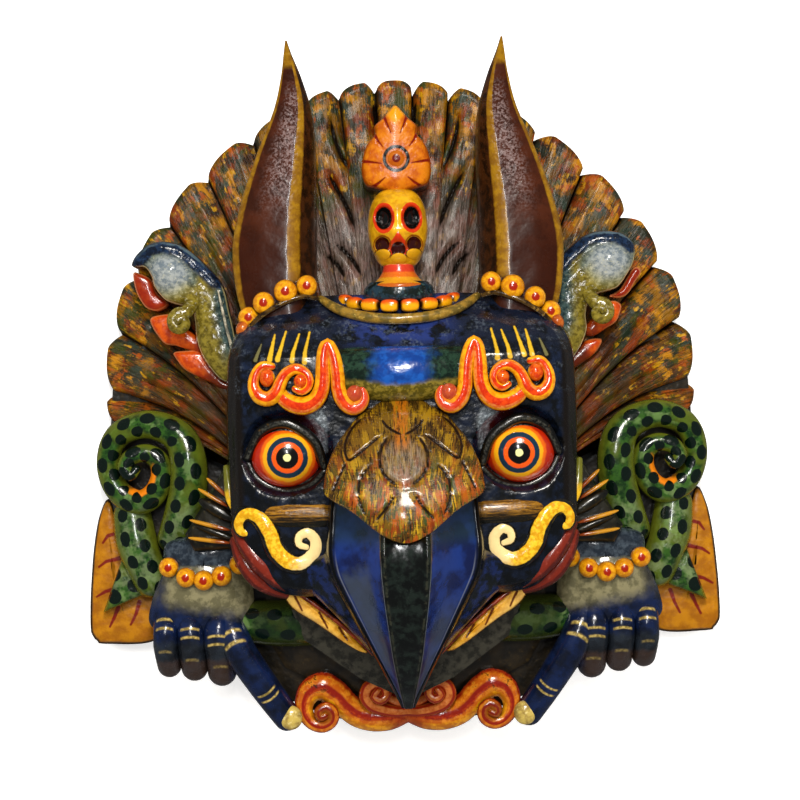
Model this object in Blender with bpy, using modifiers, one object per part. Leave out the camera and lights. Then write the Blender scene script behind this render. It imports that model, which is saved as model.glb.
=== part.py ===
"""Garuda mask: a bird face with horns, feather halo, snakes and hands, carved from one block of wood.

The mask lies on its flat back. +Z comes out of the face, +Y runs to the crown and +X to the right of
someone who looks at the face. The origin is the middle of the flat back. Carved forms are closed
solids that overlap each other and are joined by one Boolean union; the hollow of the back is cut last.
"""

import math

import bmesh
import bpy

MM = 0.001

# Driving sizes, in millimetres
MASK_HEIGHT = 450.0
BOARD_THICKNESS = 26.0
HALO_RADIUS = 197.0
HALO_SHOULDER_CUT = 5.0
CREST_RISE = 3.0
HALO_CENTRE_Y = 8.0
HALO_INNER_RISE = 34.0
FEATHER_GROOVE = 7.0
FEATHER_SCALLOP = 10.0
CREST_PITCH_DEG = 7.3
SIDE_PITCH_DEG = 12.2
HALO_END_DEG = 98.0
HORN_BEAD_RADIUS = 7.4
BRACELET_BEAD_RADIUS = 6.7
CROWN_BEAD_RADIUS = 5.4
CROWN_BEAD_SEAT = 2.5
HOLLOW_WIDTH = 184.0
HOLLOW_HEIGHT = 190.0
HOLLOW_DEPTH = 92.0
HOLLOW_CENTRE_Y = -36.0
TOOTH_COUNT = 3
FLAT_WITHIN_DEG = 11.5

# Carving is given in shares of the height: one unit is a millimetre on a mask 450 mm high.
UNIT = MASK_HEIGHT / 450.0


def new_collection(name):
    made = bpy.data.collections.new(name)
    bpy.context.scene.collection.children.link(made)
    return made


def clear_scene():
    for old in list(bpy.data.objects):
        bpy.data.objects.remove(old, do_unlink=True)


clear_scene()
mask_collection = new_collection("garuda_mask")
forms = new_collection("carved_forms")
eye_sockets = new_collection("eye_sockets")
cutters = new_collection("cutters")


def helper(obj, collection):
    collection.objects.link(obj)
    obj.hide_render = True
    obj.display_type = "WIRE"
    return obj


def mesh_helper(name, bm, collection=forms):
    bmesh.ops.remove_doubles(bm, verts=bm.verts, dist=1e-6)
    bmesh.ops.recalc_face_normals(bm, faces=bm.faces)
    mesh = bpy.data.meshes.new(name)
    bm.to_mesh(mesh)
    bm.free()
    return helper(bpy.data.objects.new(name, mesh), collection)


def both_sides(obj):
    """The same form on the other side of the mask."""
    mirror = obj.modifiers.new("other_side", "MIRROR")
    mirror.use_mirror_merge = False
    return obj


def smooth(points, steps, closed=False):
    """Points on a curve through these points, with this many steps for each span."""
    count = len(points)
    found = []
    for i in range(count if closed else count - 1):
        if closed:
            around = [points[(i + k) % count] for k in (-1, 0, 1, 2)]
        else:
            around = [points[min(max(i + k, 0), count - 1)] for k in (-1, 0, 1, 2)]
        for step in range(steps):
            t = step / steps
            weights = (
                (-t + 2 * t * t - t**3) / 2,
                (2 - 5 * t * t + 3 * t**3) / 2,
                (t + 4 * t * t - 3 * t**3) / 2,
                (t**3 - t * t) / 2,
            )
            blend = [sum(w * p[k] for w, p in zip(weights, around)) for k in range(len(points[0]))]
            found.append(tuple(blend))
    if not closed:
        found.append(tuple(points[-1]))
    return found


def whole_outline(half):
    """The closed outline whose right half this is, from the top point to the bottom one."""
    return half + [(-x, y) for x, y in reversed(half[1:-1])]


def scaled(points):
    return [tuple(value * UNIT for value in point) for point in points]


def loft(name, rings, collection=forms):
    """A closed solid through rings of equal count, with its two ends filled."""
    bm = bmesh.new()
    rows = [[bm.verts.new([value * MM for value in point]) for point in ring] for ring in rings]
    for low, high in zip(rows, rows[1:]):
        for i in range(len(low)):
            j = (i + 1) % len(low)
            bm.faces.new((low[i], low[j], high[j], high[i]))
    bm.faces.new(rows[0][::-1])
    bm.faces.new(rows[-1])
    return mesh_helper(name, bm, collection)


def ball(name, centre, radii, segments=6, rings=4, collection=forms):
    """An ellipsoid. Its centre and radii are in units."""
    bm = bmesh.new()
    bmesh.ops.create_uvsphere(bm, u_segments=segments, v_segments=rings, radius=UNIT * MM)
    for vert in bm.verts:
        vert.co = [vert.co[k] * radii[k] + centre[k] * UNIT * MM for k in range(3)]
    return mesh_helper(name, bm, collection)


def bead(name, centre, radius):
    """A ball whose radius is a real size in millimetres; its centre is in units."""
    return ball(name, centre, [radius / UNIT] * 3)


def mesh_from_curve(name, curve):
    guide = bpy.data.objects.new(name + "_curve", curve)
    forms.objects.link(guide)
    bpy.context.view_layer.update()
    evaluated = guide.evaluated_get(bpy.context.evaluated_depsgraph_get())
    mesh = bpy.data.meshes.new_from_object(evaluated)
    bm = bmesh.new()
    bm.from_mesh(mesh)
    made = mesh_helper(name, bm)
    made.matrix_world = guide.matrix_world
    bpy.data.objects.remove(guide, do_unlink=True)
    bpy.data.meshes.remove(mesh)
    return made


def tube(name, points, steps=1, resolution=1):
    """A round carved band. Each point is x, y, z and radius in units; the ends are rounded off."""
    path = smooth(scaled(points), steps)
    first, last = path[0], path[-1]
    path = [first[:3] + (first[3] * 0.55,)] + path + [last[:3] + (last[3] * 0.55,)]
    for end, inner in ((0, 2), (-1, -3)):
        away = [path[end][k] - path[inner][k] for k in range(3)]
        length = math.sqrt(sum(a * a for a in away)) or 1.0
        reach = path[end][3] * 1.2
        path[end] = tuple(path[end][k] + away[k] / length * reach for k in range(3)) + (path[end][3],)
    curve = bpy.data.curves.new(name, "CURVE")
    curve.dimensions = "3D"
    curve.bevel_depth = MM
    curve.bevel_resolution = resolution
    curve.use_fill_caps = True
    spline = curve.splines.new("POLY")
    spline.points.add(len(path) - 1)
    for point, (x, y, z, radius) in zip(spline.points, path):
        point.co = (x * MM, y * MM, z * MM, 1)
        point.radius = radius
    return mesh_from_curve(name, curve)


def chamfered(name, outline, low, high, chamfer, steps=1):
    """A raised form between two heights whose front edge slopes in, all in units."""
    points = smooth(scaled(outline), steps, closed=True)
    low, high, chamfer = low * UNIT, high * UNIT, chamfer * UNIT
    middle = [sum(point[k] for point in points) / len(points) for k in range(2)]
    width = min(max(p[k] for p in points) - min(p[k] for p in points) for k in range(2))
    share = 1 - 2 * chamfer / width
    front = [tuple(middle[k] + (point[k] - middle[k]) * share for k in range(2)) for point in points]
    levels = ((points, low), (points, high - chamfer), (front, high))
    return loft(name, [[point + (z,) for point in row] for row, z in levels])


def slab(name, outline, low, high, steps=1):
    """A flat form between two heights, all in units."""
    points = smooth(scaled(outline), steps, closed=True)
    curve = bpy.data.curves.new(name, "CURVE")
    curve.dimensions = "2D"
    curve.fill_mode = "BOTH"
    half = (high - low) / 2 * UNIT * MM
    curve.extrude = half
    spline = curve.splines.new("POLY")
    spline.points.add(len(points) - 1)
    for point, (x, y) in zip(spline.points, points):
        point.co = (x * MM, y * MM, 0, 1)
    spline.use_cyclic_u = True
    made = mesh_from_curve(name, curve)
    for vert in made.data.vertices:
        vert.co.z += low * UNIT * MM + half
    return made


def spiral(centre, start_radius, end_radius, start_deg, end_deg, count):
    """Points from start to end around a centre, for the curl of a scroll."""
    found = []
    for i in range(count):
        t = i / (count - 1)
        angle = math.radians(start_deg + (end_deg - start_deg) * t)
        radius = start_radius + (end_radius - start_radius) * t
        found.append((centre[0] + radius * math.cos(angle), centre[1] + radius * math.sin(angle)))
    return found


def with_height(points, heights, radii):
    """Adds z and radius to flat points, each spread evenly from its first value to its last."""
    found = []
    for i, (x, y) in enumerate(points):
        t = i / (len(points) - 1)
        z = heights[0] + (heights[1] - heights[0]) * t
        found.append((x, y, z, radii[0] + (radii[1] - radii[0]) * t))
    return found


def feather_edges():
    """Angles from the crown, in degrees, of the grooves between feathers on one side."""
    crest = [CREST_PITCH_DEG * (i + 0.5) for i in range(3)]
    count = int((HALO_END_DEG - crest[-1]) / SIDE_PITCH_DEG)
    side = [crest[-1] + SIDE_PITCH_DEG * (i + 1) for i in range(count)]
    return crest + side + [HALO_END_DEG]


def feather_halo():
    """Feathers side by side: flutes with a scalloped tip and a V groove between them."""
    edges = feather_edges()
    edges = [-edge for edge in reversed(edges)] + edges
    columns = []
    for left, right in zip(edges, edges[1:]):
        for share in (-1.0, -0.4, 0.4):
            columns.append(((left + right) / 2 + share * (right - left) / 2, abs(share)))
    columns.append((edges[-1], 1.0))
    crest_end = CREST_PITCH_DEG * 2.5
    rows = (0.0, 0.45, 0.85, 1.0)
    bm = bmesh.new()
    top, bottom = [], []
    for angle_deg, share in columns:
        angle = math.radians(angle_deg)
        reach = HALO_RADIUS - FEATHER_SCALLOP * share**2 - HALO_SHOULDER_CUT * math.sin(2 * angle) ** 2
        if abs(angle_deg) <= crest_end:
            reach += CREST_RISE
        outer = (reach * math.sin(angle), HALO_CENTRE_Y + reach * math.cos(angle))
        inner = (100 * UNIT * math.sin(angle), (-45 + 60 * math.cos(angle)) * UNIT)
        bow = 8 * UNIT * abs(math.sin(angle))
        line = []
        for t in rows:
            x = inner[0] + (outer[0] - inner[0]) * t
            y = inner[1] + (outer[1] - inner[1]) * t + bow * math.sin(math.pi * t)
            rise = HALO_INNER_RISE * (1 - t) ** 1.3
            z = BOARD_THICKNESS + rise - FEATHER_GROOVE * (share == 1.0) * (0.45 + 0.55 * t)
            line.append(bm.verts.new((x * MM, y * MM, z * MM)))
        top.append(line)
        bottom.append([bm.verts.new((p[0] * MM, p[1] * MM, 0)) for p in (inner, outer)])
    for here, there, low, far in zip(top, top[1:], bottom, bottom[1:]):
        for i in range(len(rows) - 1):
            bm.faces.new((here[i], there[i], there[i + 1], here[i + 1]))
        bm.faces.new((here[-1], there[-1], far[1], low[1]))
        bm.faces.new((here[0], low[0], far[0], there[0]))
        bm.faces.new((low[0], low[1], far[1], far[0]))
    for line, low in ((top[0], bottom[0]), (top[-1], bottom[-1])):
        bm.faces.new(line + [low[1], low[0]])
    return mesh_helper("feather_halo", bm)


def backing():
    """The plain wood behind snakes, hands and chin, down to the flat back."""
    half = [(0, 100), (150, 60), (192, 10), (196, -45), (190, -75), (196, -108), (163, -150)]
    half += [(158, -172), (122, -176), (100, -180), (82, -205), (64, -208), (44, -206), (22, -217), (0, -214)]
    slab("backing", whole_outline(half), 0, BOARD_THICKNESS / UNIT)
    low = [(0, -90), (120, -90), (150, -105), (160, -150), (154, -172), (122, -176), (102, -172)]
    low += [(84, -200), (70, -204), (56, -214), (20, -219), (0, -210)]
    slab("hand_block", whole_outline(low), 1, BOARD_THICKNESS / UNIT + 18)


def head():
    half = [(0, 62), (50, 62), (88, 53), (108, 34), (112, 0), (112, -45), (110, -86), (98, -112), (74, -130)]
    outline = smooth(scaled(whole_outline(half + [(0, -130)])), 2, closed=True)
    middle = -30 * UNIT
    rings = []
    for height, share, fall in (
        (2, 0.98, 0),
        (84, 1.0, 10),
        (98, 0.985, 22),
        (108, 0.93, 30),
        (114, 0.82, 30),
        (117, 0.55, 30),
    ):
        ring = []
        for x, y in outline:
            y = middle + (y - middle) * share
            # the crown slopes back behind the forehead
            back = min(1.0, max(0.0, (y - 22 * UNIT) / (40 * UNIT)))
            ring.append((x * share, y, height * UNIT - back * fall * UNIT))
        rings.append(ring)
    loft("head", rings)


def jaw():
    half = [(0, -110), (92, -118), (92, -160), (80, -180), (60, -190), (24, -200), (0, -204)]
    chamfered("throat", whole_outline(half), 3, 52, chamfer=3)
    half = [(0, -110), (74, -140), (66, -160), (30, -186), (0, -200)]
    chamfered("lower_beak", whole_outline(half), 4, 80, chamfer=5)


def teeth():
    """A row of teeth below the edge of the beak, each with a rounded foot."""
    start, end = (68, -128), (29, -165)
    normal = (0.69, -0.72)
    row = [(start[0] - 6, start[1] + 8), (end[0] - 8, end[1] + 4)]
    for i in range(TOOTH_COUNT, 0, -1):
        for part, depth in ((0.02, 5.5), (0.5, 9.5), (0.98, 5.5)):
            t = (i - part) / TOOTH_COUNT
            grown = depth * math.sin(math.pi * (0.12 + 0.8 * t)) ** 0.5
            x = start[0] + (end[0] - start[0]) * t + normal[0] * grown
            y = start[1] + (end[1] - start[1]) * t + normal[1] * grown
            row.append((x, y))
    both_sides(slab("teeth", row, 60, 88))


def beak():
    """Sections from the root to the hooked tip: ridge strip, inner planes, outer ridge, lip."""
    stations = smooth(
        scaled(
            [
                # y, ridge height, ridge half-width, outer ridge half-width, lip half-width, lip drop
                (-58, 152, 12, 44, 48, 34),
                (-101, 163.5, 12.8, 47, 51, 42),
                (-108, 163.5, 12.6, 46.5, 82, 62),
                (-114, 162.5, 12.4, 45.5, 80, 62),
                (-131, 157.6, 11, 36.5, 57, 58),
                (-150, 148, 9, 27, 38, 48),
                (-168, 135, 7, 18, 22, 36),
                (-186, 119, 4.5, 9.5, 12, 24),
                (-199, 102, 2.5, 3.6, 4.5, 9),
            ]
        ),
        1,
    )
    rings = []
    for y, top, ridge, outer, lip, drop in stations:
        crease = (ridge + outer) / 2
        floor = top - drop - 16 * UNIT
        right = [
            (ridge, top),
            (ridge * 1.12 + 0.5 * UNIT, top - 1.5 * UNIT),
            (crease, top - drop * 0.34),
            (outer, top - drop * 0.55),
            (outer + 1.5 * UNIT, top - drop * 0.66),
            (lip, top - drop),
            (lip * 0.94, floor),
        ]
        ring = [(x, y, z) for x, z in right]
        ring += [(-x, y, z) for x, z in reversed(right)]
        rings.append(ring)
    loft("beak", rings)


def cere():
    """The domed plate over the root of the beak, with a V-shaped lower edge."""
    stations = smooth(
        scaled(
            [
                (-6, 122, 15),
                (-14, 131, 29),
                (-28, 145, 42),
                (-46, 156, 50.5),
                (-60, 163, 50),
                (-68, 166, 46),
                (-77, 168.5, 32),
                (-86, 169, 17),
                (-92, 168, 6),
            ]
        ),
        1,
    )
    rings = []
    for y, top, half in stations:
        ring = []
        side = top - 26 * UNIT * (half / (50 * UNIT)) ** 1.2
        for i in range(-4, 5):
            turn = i / 4 * math.pi / 2
            ring.append((half * math.sin(turn), y, side + (top - side) * math.cos(turn) ** 0.9))
        base = 100 * UNIT
        ring += [(half, y, base), (-half, y, base)]
        rings.append(ring)
    loft("cere", rings)


def horns():
    """Each horn rises from the brow to a free tip, flat in front between two edges."""
    stations = smooth(
        scaled(
            [
                # y, inner edge, outer edge, front height, back height
                (46, 55, 100, 86, 30),
                (68, 53.5, 105.5, 84, 24),
                (96, 53, 107, 82, 20),
                (124, 53, 101, 80, 18),
                (154, 52.6, 90.5, 80, 18),
                (182, 54.2, 78.5, 82, 18),
                (202, 59.5, 73, 86, 46),
                (217, 65.5, 70.5, 90, 70),
                (225, 68.2, 69.2, 92, 84),
            ]
        ),
        1,
    )
    rings = []
    for y, inner, outer, front, back in stations:
        wide = outer - inner
        rings.append(
            [
                (outer, y, back),
                (outer, y, front - wide * 0.16),
                (outer - wide * 0.3, y, front),
                (inner + wide * 0.36, y, front + wide * 0.02),
                (inner + wide * 0.2, y, front - wide * 0.03),
                (inner, y, front - wide * 0.34),
                (inner, y, back),
            ]
        )
    both_sides(loft("horn", rings))


def horn_beads():
    """A string of beads around the root of each horn, biggest in the middle."""
    row = ((97, 49, 80, 0.88), (87, 58, 85, 0.95), (72.5, 64, 85.5, 1.0), (59, 68, 77, 0.88))
    for i, (x, y, z, share) in enumerate(row):
        both_sides(bead(f"horn_bead_{i}", (x, y, z), HORN_BEAD_RADIUS * share))
    both_sides(ball("horn_drop", (101, 42, 84), (4.4, 5.5, 6)))


def ears():
    outline = [(172, 86), (163, 98), (149, 103), (130, 92), (114, 72), (106, 34), (108, 8), (117, 13)]
    outline += [(128, 27), (132, 45), (138, 57), (153, 64), (162, 80)]
    both_sides(chamfered("ear", outline, 8, 62, chamfer=5))
    curl = spiral((136, 47), 9, 2.5, -190, 120, 6)
    edge = [(116, 15), (124, 28)]
    both_sides(tube("ear_curl", with_height(edge + curl, (56, 66), (4, 3.4)), resolution=0))
    rim = [(110, 40, 60, 3), (116, 76, 63, 3.2), (128, 97, 62, 3.2), (148, 100, 58, 3), (163, 90, 54, 3)]
    both_sides(tube("ear_rim", rim, resolution=0))
    for i, (x, y, long, wide, turn_deg) in enumerate(
        ((166, 72, 15, 6.5, 123), (150, 40, 20, 7, 140), (132, 16, 22, 7, 144))
    ):
        turn = math.radians(turn_deg)
        outline = []
        cos, sin = math.cos(turn), math.sin(turn)
        for k in range(8):
            angle = 2 * math.pi * k / 8
            a, b = long * math.cos(angle), wide * math.sin(angle)
            outline.append((x + a * cos - b * sin, y + a * sin + b * cos))
        both_sides(chamfered(f"ear_feather_{i}", outline, 5, 47 + 3 * i, chamfer=2))


def brows():
    outer = [(83, 13, 120, 4), (89, 14, 120, 4), (92, 7, 120, 5), (90, -2, 120, 5.5), (82, -5, 120, 5.5)]
    outer += [(73, -2, 120, 5), (66, -6, 120, 5), (58, -9, 120, 5), (50, -7, 121, 5)]
    both_sides(tube("brow_curl", outer))
    flat = spiral((60, 4), 8.2, 2.0, 175, -120, 6)
    both_sides(tube("brow_spiral", with_height(flat, (121, 124), (4.4, 3.6)), resolution=0))
    flat = [(52, -8), (48, 2), (49.5, 16), (44, 30), (38, 16), (34, 2), (35, -8), (28, -11), (21, -5)]
    both_sides(tube("brow_loop", with_height(flat, (121, 123), (5.2, 4.2))))
    both_sides(ball("brow_ball", (26.5, 0, 123), (5.6, 5.6, 5)))


def eyes():
    both_sides(ball("eye_socket", (76, -38, 121), (33, 28, 20), 12, 6, eye_sockets))
    both_sides(ball("eye", (73.5, -39.5, 100), (23.5, 21.5, 23), 12, 6))
    upper = [(50, -46, 114, 2.8), (56, -30, 116, 3.2), (73, -19, 116, 3.4)]
    upper += [(89, -24, 113, 3.2), (98, -40, 108, 2.8)]
    both_sides(tube("lid_above", upper, resolution=0))
    lower = [(50, -50, 112, 2.6), (60, -59, 110, 2.8), (76, -62, 108, 2.8)]
    lower += [(91, -55, 106, 2.8), (98, -44, 105, 2.6)]
    both_sides(tube("lid_below", lower, resolution=0))
    roll = [(90, -73, 108, 5), (73, -76, 112, 6), (54, -77, 113, 6)]
    both_sides(tube("cheek_roll", roll))


def cheeks():
    scroll = [(101, -89, 106, 3.6), (104.5, -81, 106, 4.5), (99, -74, 107, 6.5), (90, -77, 109, 7.5)]
    scroll += [(82, -92, 110, 8), (75, -104, 109, 8), (65, -108, 109, 7.5), (58, -101, 110, 6)]
    scroll += [(63, -94, 112, 4.5)]
    both_sides(tube("cheek_scroll", scroll))
    fold = [(110, -84, 88, 5), (106, -100, 84, 6), (96, -115, 80, 7), (82, -128, 78, 5)]
    both_sides(tube("lip_fold", fold))


def gills():
    """A dark fan between the cheek and the snake, with ribs across it."""
    outline = [(108, -36), (116, -48), (142, -90), (136, -101), (104, -100)]
    both_sides(chamfered("gill", outline, 6, 74, chamfer=3))
    for i in range(4):
        start = (124 + 4.5 * i, -54 - 12.5 * i)
        end = (112, -64 - 10 * i)
        both_sides(tube(f"gill_rib_{i}", [start + (75, 2.6), end + (78, 3.2)], resolution=0))
    both_sides(tube("gill_edge", [(112, -46, 86, 3), (109, -60, 88, 3), (106, -72, 90, 3)], resolution=0))


def snakes():
    coil = [(169, -46, 47, 7.5), (165, -60, 44, 7.5), (174, -68, 40, 7.5), (187, -64, 38, 8.5)]
    coil += [(194.5, -46, 38, 8.5), (186, -27, 40, 9), (166, -20, 44, 9.5), (148, -28, 48, 11)]
    coil += [(141, -46, 50, 12.5), (144, -67, 48, 12.5), (152, -90, 42, 12)]
    both_sides(tube("snake_coil", coil))
    body = [(180, -79, 30, 13), (177, -98, 32, 14), (168, -122, 34, 12)]
    both_sides(tube("snake_body", body))
    both_sides(chamfered("snake_tail", [(188, -108), (201, -143), (172, -131)], 5, 36, chamfer=2))
    stretch = [(103, -149, 48, 14), (80, -150, 56, 15.5), (50, -149, 60, 15.5)]
    both_sides(tube("mouth_snake", stretch))


def fins():
    outline = [(196, -69), (203, -78), (207.5, -100), (211, -158), (204, -165), (166, -162), (162, -130)]
    outline += [(186, -100)]
    both_sides(chamfered("fin", outline, 0.5, BOARD_THICKNESS / UNIT, chamfer=3))


def hands():
    palm = [(153, -95), (110, -94), (101, -118), (100, -146), (112, -158), (148, -158), (167, -150)]
    palm += [(166, -134), (158, -114)]
    both_sides(chamfered("palm", palm, 5, 62, chamfer=6))
    both_sides(ball("palm_back", (134, -126, 56), (27, 30, 13), 8, 5))
    for i, (x, low, radius) in enumerate(((157, -177, 8), (140.5, -179, 8.8), (122, -182, 9.6))):
        finger = [(x, -142, 50, radius), (x, -158, 62, radius), (x - 1, low, 48, radius)]
        both_sides(tube(f"finger_{i}", finger))
    index = [(117, -148, 56, 11), (107, -170, 62, 10.6), (92, -193, 61, 10), (79, -212, 56, 9)]
    both_sides(tube("pointing_finger", index, resolution=2))
    both_sides(ball("nail", (77, -213, 62), (7.5, 7.5, 5)))
    for i in range(5):
        turn = (i - 2) / 2
        centre = (152.5 - 11.3 * i, -122 + 12 * turn**2 - 2 * turn, 70 - 7 * turn**2)
        both_sides(bead(f"bracelet_bead_{i}", centre, BRACELET_BEAD_RADIUS))


def chin():
    """Cloud scrolls below the beak: a big curl outside, a small one inside and a lobe between them."""
    curl = spiral((56, -207), 11, 2.5, 100, -210, 8)
    band = [(3, -213), (15, -217), (28, -214), (40, -202)]
    both_sides(tube("chin_scroll", with_height(band + curl, (50, 54), (8, 3.4))))
    curl = spiral((19, -196), 10, 2.5, -110, 220, 7)
    both_sides(tube("chin_curl", with_height(curl, (58, 63), (5, 3.6)), resolution=0))
    lobe = [(4, -216, 40, 9), (20, -216, 42, 9), (38, -212, 42, 9)]
    both_sides(tube("chin_lobe", lobe))


def rings_along_y(stations, height):
    """Circles across the Y axis at this height, for turned forms that stand on the crown."""
    rings = []
    for y, radius in stations:
        ring = []
        for k in range(12):
            angle = 2 * math.pi * k / 12
            ring.append((radius * math.sin(angle), y, height + radius * math.cos(angle)))
        rings.append(scaled(ring))
    return rings


def crown():
    """The finial between the horns: beads, disc, neck, skull and flame leaf."""
    roll = [(-43, 12, 105, 16), (-24, 11, 111, 17), (0, 10, 114, 18), (24, 11, 111, 17), (43, 12, 105, 16)]
    tube("forehead_roll", roll, resolution=2)
    rim = [(-50, 59, 80, 3), (-36, 51, 95, 3), (0, 46, 101, 3), (36, 51, 95, 3), (50, 59, 80, 3)]
    tube("crown_rim", rim)
    loft("crown_disc", rings_along_y(((57, 20), (59, 23), (66, 22.5), (70, 19)), 76))
    loft("crown_neck", rings_along_y(((66, 18), (71, 14), (77, 10), (88, 9.5)), 80))
    # each bead sits a little way into the disc or the slope of the head below it
    sits_out = (CROWN_BEAD_RADIUS - CROWN_BEAD_SEAT) / UNIT
    for i, (x, y, z) in enumerate(((6.3, 58, 98), (18, 58, 90), (27.6, 57, 80), (34, 58, 78.5))):
        both_sides(bead(f"crown_bead_{i}", (x, y, z + sits_out), CROWN_BEAD_RADIUS))


def skull():
    bm = bmesh.new()
    bmesh.ops.create_uvsphere(bm, u_segments=12, v_segments=8, radius=1.0)
    for vert in bm.verts:
        x, y, z = vert.co.x, vert.co.z, -vert.co.y
        below = min(1.0, max(0.0, (-y - 0.15) / 0.45))
        vert.co = (20 * x * (1 - 0.3 * below), 104 + 25 * y, 78 + 22 * z * (1 - 0.1 * below))
        vert.co *= UNIT * MM
    mesh_helper("skull", bm)
    for side in (-1, 1):
        ball(f"socket_{side}", (side * 8.6, 108, 99), (5.6, 7.6, 6), 8, 5, cutters)
    for i in (-1, 0, 1):
        ball(f"skull_mouth_{i}", (i * 8.5, 91.5 - abs(i), 99 - 2.5 * abs(i)), (3.4, 3, 4), 6, 4, cutters)


def flame():
    half = [(0, 184), (8, 176), (13.5, 170), (14, 165), (19, 158), (22, 149), (22.5, 140), (19.5, 133)]
    half += [(14, 129), (0, 127)]
    chamfered("flame", whole_outline(half), 30, 84, chamfer=3)
    ball("flame_eye", (0, 147, 82), (8, 8, 5))


def hollow():
    """The hollow of the back: oval at the rim, rounded at the bottom."""
    rings = []
    for share, height in ((1.02, -1.0), (1.0, 0.0), (0.96, 0.35), (0.84, 0.68), (0.62, 0.88), (0.3, 1.0)):
        z = HOLLOW_DEPTH * height if height > 0 else height
        ring = []
        for k in range(20):
            angle = 2 * math.pi * k / 20
            cos, sin = math.cos(angle), math.sin(angle)
            x = HOLLOW_WIDTH / 2 * share * math.copysign(abs(cos) ** 0.8, cos)
            y = HOLLOW_CENTRE_Y + HOLLOW_HEIGHT / 2 * share * math.copysign(abs(sin) ** 0.8, sin)
            ring.append((x, y, z))
        rings.append(ring)
    loft("hollow", rings, cutters)


def lacquered_wood():
    material = bpy.data.materials.new("painted_wood")
    material.use_nodes = True
    shader = material.node_tree.nodes["Principled BSDF"]
    shader.inputs["Base Color"].default_value = (0.03, 0.07, 0.16, 1)
    shader.inputs["Roughness"].default_value = 0.25
    shader.inputs["Metallic"].default_value = 0.0
    return material


for carve in (feather_halo, backing, head, jaw, teeth, beak, cere, horns, horn_beads, ears, brows):
    carve()
for carve in (eyes, cheeks, gills, snakes, fins, hands, chin, crown, skull, flame, hollow):
    carve()


def join_carving():
    """One solid from all the forms, less the hollow and the sockets of the skull."""
    first = forms.objects["head"]
    forms.objects.unlink(first)
    mask_collection.objects.link(first)
    first.name = "mask"
    first.hide_render = False
    first.display_type = "TEXTURED"
    first.data.materials.append(lacquered_wood())
    cuts_and_joins = ((eye_sockets, "DIFFERENCE"), (forms, "UNION"), (cutters, "DIFFERENCE"))
    for collection, operation in cuts_and_joins:
        boolean = first.modifiers.new(collection.name, "BOOLEAN")
        boolean.operation = operation
        boolean.operand_type = "COLLECTION"
        boolean.collection = collection
        boolean.solver = "MANIFOLD"
    flattened = first.modifiers.new("flat_faces_merged", "DECIMATE")
    flattened.decimate_type = "DISSOLVE"
    flattened.angle_limit = math.radians(FLAT_WITHIN_DEG)
    first.data.shade_smooth()
    first.data.set_sharp_from_angle(angle=math.radians(35))
    return first


join_carving()
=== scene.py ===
import math

import bmesh
import bpy
import numpy as np
from mathutils.geometry import delaunay_2d_cdt
from mathutils import Matrix, Vector


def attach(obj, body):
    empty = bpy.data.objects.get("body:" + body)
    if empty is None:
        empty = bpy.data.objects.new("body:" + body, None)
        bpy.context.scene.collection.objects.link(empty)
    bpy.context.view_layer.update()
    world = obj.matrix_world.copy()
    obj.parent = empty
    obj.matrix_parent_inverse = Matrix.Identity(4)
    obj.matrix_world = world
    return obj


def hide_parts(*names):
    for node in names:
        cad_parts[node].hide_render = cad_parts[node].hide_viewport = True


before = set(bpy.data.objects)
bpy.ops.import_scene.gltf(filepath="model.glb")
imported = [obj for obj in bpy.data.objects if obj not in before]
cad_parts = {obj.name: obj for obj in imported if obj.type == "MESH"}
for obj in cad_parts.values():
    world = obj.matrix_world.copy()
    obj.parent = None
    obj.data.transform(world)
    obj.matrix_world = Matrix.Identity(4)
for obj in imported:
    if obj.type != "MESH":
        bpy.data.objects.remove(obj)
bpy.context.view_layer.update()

# All lengths below are millimetres in the frame's own axes: +X to the viewer's right, +Y to the horns,
# +Z out of the face. The mask lies on its flat back at z = 0.
mm = 0.001
perMetre = 1000.0
turnFull = 2 * math.pi


# Shader maths


def fillInputs(tree, node, inputs):
    # a Field is linked to its socket, a constant is set on it
    for key, value in inputs.items():
        if isinstance(value, Field):
            tree.links.new(value.socket, node.inputs[key])
        else:
            node.inputs[key].default_value = value


class Field:
    # one socket of a node tree, with arithmetic
    def __init__(self, tree, socket):
        self.tree = tree
        self.socket = socket

    def node(self, kind, settings=None, inputs=None, out=0):
        made = self.tree.nodes.new(kind)
        for key, value in (settings or {}).items():
            setattr(made, key, value)
        fillInputs(self.tree, made, inputs or {})
        return Field(self.tree, made.outputs[out])

    def math(self, operation, first, second=0.0):
        return self.node("ShaderNodeMath", {"operation": operation}, {0: first, 1: second})

    def __add__(self, other):
        return self.math("ADD", self, other)

    def __radd__(self, other):
        return self.math("ADD", other, self)

    def __sub__(self, other):
        return self.math("SUBTRACT", self, other)

    def __rsub__(self, other):
        return self.math("SUBTRACT", other, self)

    def __mul__(self, other):
        return self.math("MULTIPLY", self, other)

    def __rmul__(self, other):
        return self.math("MULTIPLY", other, self)

    def __truediv__(self, other):
        return self.math("DIVIDE", self, other)

    def __rtruediv__(self, other):
        return self.math("DIVIDE", other, self)

    def __pow__(self, other):
        return self.math("POWER", self, other)

    def __abs__(self):
        return self.math("ABSOLUTE", self)

    def least(self, other):
        return self.math("MINIMUM", self, other)

    def most(self, other):
        return self.math("MAXIMUM", self, other)

    def ease(self, low, high):
        # 0 at low, 1 at high, smooth between; low may be the larger
        inputs = {0: self, 1: low, 2: high, 3: 0.0, 4: 1.0}
        return self.node("ShaderNodeMapRange", {"interpolation_type": "SMOOTHSTEP"}, inputs)

    def band(self, middle, half, soft):
        # 1 within half of the middle, 0 outside
        return abs(self - middle).ease(half + soft, half - soft)


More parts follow.
